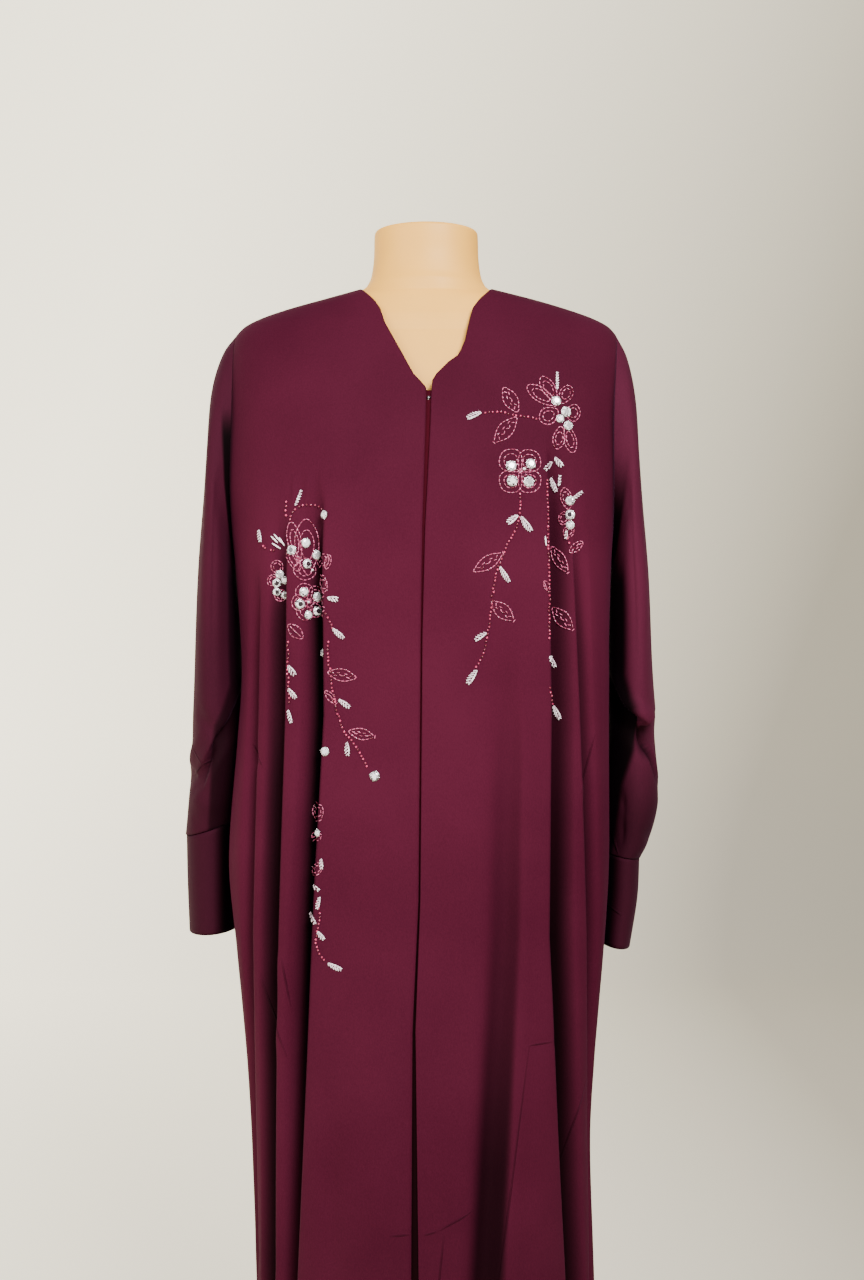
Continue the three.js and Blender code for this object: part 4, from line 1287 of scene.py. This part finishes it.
rightSide = {
    "vines": [
        [(290, 522), (292, 514), (297, 508), (307, 505), (318, 506), (324, 510)],
        [(262, 545), (268, 549), (276, 550)],
        [(288, 640), (288, 655), (288, 668), (289, 690), (290, 704)],
        [(326, 612), (330, 622), (334, 630)],
        [(328, 640), (328, 655), (330, 671), (332, 684), (335, 702), (339, 718), (345, 733),
         (353, 742), (362, 756), (368, 768)],
        [(289, 500), (286, 508), (287, 518)],
        [(316, 900), (320, 915), (318, 930), (316, 945), (321, 955), (326, 961)],
    ],
    "petals": [
        (308, 576, 306, 519, 24), (299, 564, 291, 522, 13), (299, 572, 289, 548, 11),
        (307, 558, 303, 580, 22), (318, 566, 328, 555, 11), (322, 574, 325, 592, 7),
        (281, 574, 274, 561, 12), (278, 584, 269, 577, 12), (284, 590, 277, 600, 12),
        (308, 601, 301, 584, 17), (308, 601, 322, 589, 17), (308, 601, 292, 604, 16),
        (308, 601, 303, 620, 17), (308, 601, 322, 615, 17),
        (319, 822, 317, 803, 11), (319, 832, 314, 840, 10), (321, 862, 314, 875, 9),
    ],
    "pinkLeaves": [
        (327, 672, 357, 678, 12), (348, 731, 375, 737, 11), (288, 624, 303, 639, 11),
        (330, 554, 326, 570, 6), (325, 690, 336, 704, 7),
    ],
    "whiteLeaves": [
        (327, 598, 339, 599, 9), (332, 628, 345, 639, 8), (338, 699, 351, 708, 8),
        (347, 741, 348, 757, 8), (288, 665, 296, 676, 9), (288, 688, 297, 699, 8),
        (288, 709, 292, 724, 6), (259, 529, 261, 543, 6), (321, 858, 322, 870, 6),
        (312, 884, 320, 891, 6), (320, 896, 317, 910, 6), (309, 911, 316, 925, 7),
        (317, 931, 325, 940, 7), (327, 963, 343, 970, 8), (295, 507, 302, 489, 4),
    ],
    "dots": [(308, 602, 2.4), (312, 570, 2.4)],
    "strokes": [
        (271, 536, 278, 543), (274, 534, 282, 543), (272, 543, 281, 549), (279, 537, 285, 546),
    ],
}


stitches = [
    ("petals", petal), ("pinkLeaves", pinkLeaf), ("whiteLeaves", whiteLeaf), ("dots", whiteDot),
    ("strokes", whiteStroke),
]
for side in (leftSide, rightSide):
    for line in side["vines"]:
        vine(line)
    for kind, sew in stitches:
        for row in side[kind]:
            sew(*row)
bagPiece("seedBeads", vineBag, vineMat)
bagPiece("bugleBeads", bugleBag, bugleMat)
bagPiece("silverLeaves", silverBag, silverMat)
print("embroidery ready")


# Cut crystals, each in a claw

gem = {
    # the facets' colours, drawn at random from dark to white: painted reflections and glints
    "sides": 12, "seat": 0.3, "paintedFacetReflections": [0.0, 0.4, 1.0, 1.0, 1.0],
    # radius and height as shares of the stone's radius, and 1 where a ring is turned by half a side
    "rings": [(0.90, 0.0, 0), (1.0, 0.12, 0), (1.0, 0.2, 0), (0.80, 0.42, 1), (0.52, 0.55, 0)],
}
claw = {
    "count": 4, "place": 0.96, "seat": 0.28, "size": (0.55, 0.22, 0.22), "up": 0.6, "inwards": 0.8,
    "rimSteps": (20, 6), "rimThickness": 0.28, "rimSeat": 0.45,
}


def gemShape(radius):
    # rings of points with every side cut in two, so that flat facets meet
    n = gem["sides"]
    points = []
    faces = []
    for r, (share, rise, turned) in enumerate(gem["rings"]):
        angle = (np.arange(n) + 0.5 * turned) * 2 * np.pi / n
        points.append(np.stack([share * radius * np.cos(angle), share * radius * np.sin(angle),
                                np.full(n, rise * radius)], -1))
        for c in range(n if r < len(gem["rings"]) - 1 else 0):
            a, b, d, e = r * n + c, r * n + (c + 1) % n, (r + 1) * n + c, (r + 1) * n + (c + 1) % n
            faces += [[a, b, e], [a, e, d]] if turned else [[a, b, d], [b, e, d]]
    faces.append(list(range(n))[::-1])
    faces.append([(len(gem["rings"]) - 1) * n + k for k in range(n)])
    return np.concatenate(points), faces


def rimShape(radius):
    # a thin ring round the stone's foot
    turns, sides = claw["rimSteps"]
    ring = np.linspace(0, 2 * np.pi, turns, endpoint=False)[:, None]
    tube = np.linspace(0, 2 * np.pi, sides, endpoint=False)[None, :]
    reach = radius + claw["rimThickness"] * np.cos(tube)
    rise = claw["rimSeat"] + claw["rimThickness"] * np.sin(tube) + 0 * ring
    points = np.stack([reach * np.cos(ring), reach * np.sin(ring), rise], -1).reshape(-1, 3)
    faces = [[i * sides + j, (i + 1) % turns * sides + j, (i + 1) % turns * sides + (j + 1) % sides,
              i * sides + (j + 1) % sides] for i in range(turns) for j in range(sides)]
    return points, faces


def addCrystals(panel):
    stones, claws = newBag(), newBag()
    names = [name for name in nodes if name.startswith("crystal_" + panel)]
    for name in names:
        low, high = (np.array(corner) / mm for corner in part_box(name))
        middle = (low + high) / 2
        radius = max(high[0] - low[0], high[2] - low[2]) / 2
        place, normal = nearestFront(Vector((middle[0] * mm, -1.0, middle[2] * mm)), Vector((0, 1, 0)))
        turn = chance.uniform(0, 2 * np.pi)
        along = np.array([np.cos(turn), 0, np.sin(turn)])
        local = axes(normal, along)
        putShape(stones, gemShape(radius), place, normal, along, gem["seat"], 1.0)
        for angle in np.arange(claw["count"]) * 2 * np.pi / claw["count"]:
            spoke = np.array([np.cos(angle), np.sin(angle), 0]) @ local
            lean = normal * claw["up"] - spoke * claw["inwards"] + 0.01
            putShape(claws, grainShape, place + spoke * radius * claw["place"], normal, lean,
                     radius * claw["seat"], 1.0, [radius * share for share in claw["size"]])
        rim, faces = rimShape(radius)
        addToBag(claws, rim @ local + place, faces, 1.0)
    obj = bagPiece("crystals" + panel.capitalize(), stones, stoneMat, True)
    # each facet gets a random dark or white colour: painted reflections and glints
    obj.data.attributes.remove(obj.data.attributes["shade"])
    layer = obj.data.attributes.new("shade", "FLOAT", "FACE")
    layer.data.foreach_set("value", chance.choice(gem["paintedFacetReflections"], len(obj.data.polygons)))
    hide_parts(*names)
    bagPiece("claws" + panel.capitalize(), claws, clawMat)


addCrystals("left")
addCrystals("right")
print("crystals ready")


# Form and stand

# heights are runs of rows: start, end and count
form = {
    "steps": 26, "wall": 1.6, "belowRidge": 5.0,
    "torsoHeights": [(880, 1380, 80), (1382, 1439.5, 40)],
    "neckHeights": [(1446, 1500, 24), (1501, 1505, 8)],
}
formGap = {
    "z": [880, 960, 1060, 1165, 1240, 1300, 1360, 1395, 1412, 1440],
    "gap": [44, 38, 32, 24, 15, 8, 5, 4, 0.8, 0.8],
}
neckRings = {
    "z": [1440, 1446, 1456, 1475, 1501, 1504, 1505],
    "half": [66, 62, 57, 54, 53, 51.5, 49],
    "front": [54, 51, 47, 44, 43, 41.5, 39],
    "back": [59, 58, 55, 53, 53, 51.5, 49],
}


def runs(rows):
    return np.concatenate([np.linspace(*row) for row in rows])


def formGrid():
    # the garment's unfolded sections moved in along their normals, ring by ring
    bands = []
    z = runs(form["torsoHeights"])
    order = [("left", "front", 0), ("left", "back", 1), ("right", "back", 0), ("right", "front", 1)]
    for side, face, reverse in order:
        part = quarter(side, face, z)
        share = np.linspace(0, 1, form["steps"] + 1)[None, :]
        arc = part["length"][:, None] * share
        x, y = plainPlace(part, arc)
        sx, sy = signs[side], signs[face]
        points = np.stack([sx * x, sy * y, np.broadcast_to(z[:, None], x.shape)], -1)
        across = np.gradient(points, axis=1)
        along = np.gradient(points, axis=0) / np.gradient(z)[:, None, None]
        normal = np.cross(across, along) * (-sx * sy)
        normal[:, 0, 0] = 0
        normal[:, -1, 1] = 0
        normal[z < garment["armholeMiddle"], :, 2] = 0
        normal /= np.linalg.norm(normal, axis=2, keepdims=True)
        inset = form["wall"] + straight(formGap, "gap", z)[:, None] + form["belowRidge"] * (1 - share)
        points = points - normal * inset[:, :, None]
        points = points[:, ::-1] if reverse else points
        bands.append(points[:, :-1])
    return np.concatenate(bands, axis=1)


def addForm():
    torso = formGrid()
    count = torso.shape[1]
    angle = np.linspace(0, 2 * np.pi, count, endpoint=False)[None, :]
    z = runs(form["neckHeights"])
    depth = np.where(np.cos(angle) > 0, smooth(neckRings, "front", z)[:, None],
                     smooth(neckRings, "back", z)[:, None])
    half = smooth(neckRings, "half", z)[:, None]
    neck = np.stack([half * np.sin(angle), -depth * np.cos(angle), z[:, None] + 0 * angle], -1)
    grid = np.concatenate([torso, neck])
    obj = makePiece("form", grid.reshape(-1, 3), latheFaces(len(grid), count), formMat)
    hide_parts("form")


stand = {"poleRadius": 14, "poleSides": 64, "chamfer": 1, "round": 3, "recess": (60, 20), "baseSides": 128}


def addStand():
    foot, head = (corner[2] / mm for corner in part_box("stand_pole"))
    radius, chamfer = stand["poleRadius"], stand["chamfer"]
    inner = radius - chamfer
    pole = [(inner, foot), (radius, foot + chamfer), (radius, head - chamfer), (inner, head)]
    addTurned("standPole", "stand_pole", pole, stand["poleSides"], steelMat)

    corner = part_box("stand_base")[1]
    radius, top = corner[0] / mm, corner[2] / mm
    bend = stand["round"]
    turns = np.linspace(0, np.pi / 2, 7)
    edge = [(radius - bend + bend * np.cos(a), top - bend + bend * np.sin(a)) for a in turns]
    base = [(radius - chamfer, 0), (radius, chamfer), *edge, *((r, top) for r in stand["recess"])]
    obj = addTurned("standBase", "stand_base", base, stand["baseSides"], baseMat)
    obj.data.polygons.foreach_set("use_smooth", np.zeros(len(obj.data.polygons), bool))


addForm()
addStand()
print("form and stand ready")


# Floor and backdrop: a pale floor that rises behind in a cove

cove = {
    "reach": 3.0, "curve": 0.7, "height": 4.5, "from": -12.0, "halfWidth": 14.0, "colour": "bfb9ac",
    "paintedGlowColour": "fff6dc", "paintedGlow": (0.22, 2.38), "slant": (-0.42, 0.0, 0.152), "slantEnds": (-0.4, 0.8),
    "roughness": 0.9,
}


def backdropMaterial():
    # a pale matte finish with painted light: the surface itself glows, brighter towards the upper left
    mat, tree, shader = newMaterial("paleBackdrop")
    slant = vectorNode(tree, "DOT_PRODUCT", objectPlace(tree), cove["slant"], output="Value")
    paintedGlow = mapRange(tree, slant, *cove["slantEnds"], *cove["paintedGlow"])
    tree.links.new(paintedGlow, shader.inputs["Emission Strength"])
    setInputs(shader, {"Emission Color": linear(cove["paintedGlowColour"]), "Base Color": linear(cove["colour"]),
                       "Roughness": cove["roughness"]})
    return mat


def addBackdrop():
    # the profile runs along Y: flat, then a quarter circle, then straight up
    bend = np.linspace(0, np.pi / 2, 24)
    reach, curve = cove["reach"], cove["curve"]
    y = np.concatenate([[cove["from"]], reach + curve * np.sin(bend), [reach + curve]])
    z = np.concatenate([[0], curve * (1 - np.cos(bend)), [cove["height"]]])
    x = np.array([-1, 1]) * cove["halfWidth"]
    grid = np.stack([x[None, :] + 0 * y[:, None], y[:, None] + 0 * x, z[:, None] + 0 * x], -1)
    mesh = bpy.data.meshes.new("backdrop")
    mesh.from_pydata(grid.reshape(-1, 3).tolist(), [], gridFaces(len(y), 2).tolist())
    mesh.materials.append(backdropMaterial())
    mesh.polygons.foreach_set("use_smooth", np.full(len(mesh.polygons), True))
    obj = bpy.data.objects.new("backdrop", mesh)
    bpy.context.collection.objects.link(obj)


addBackdrop()
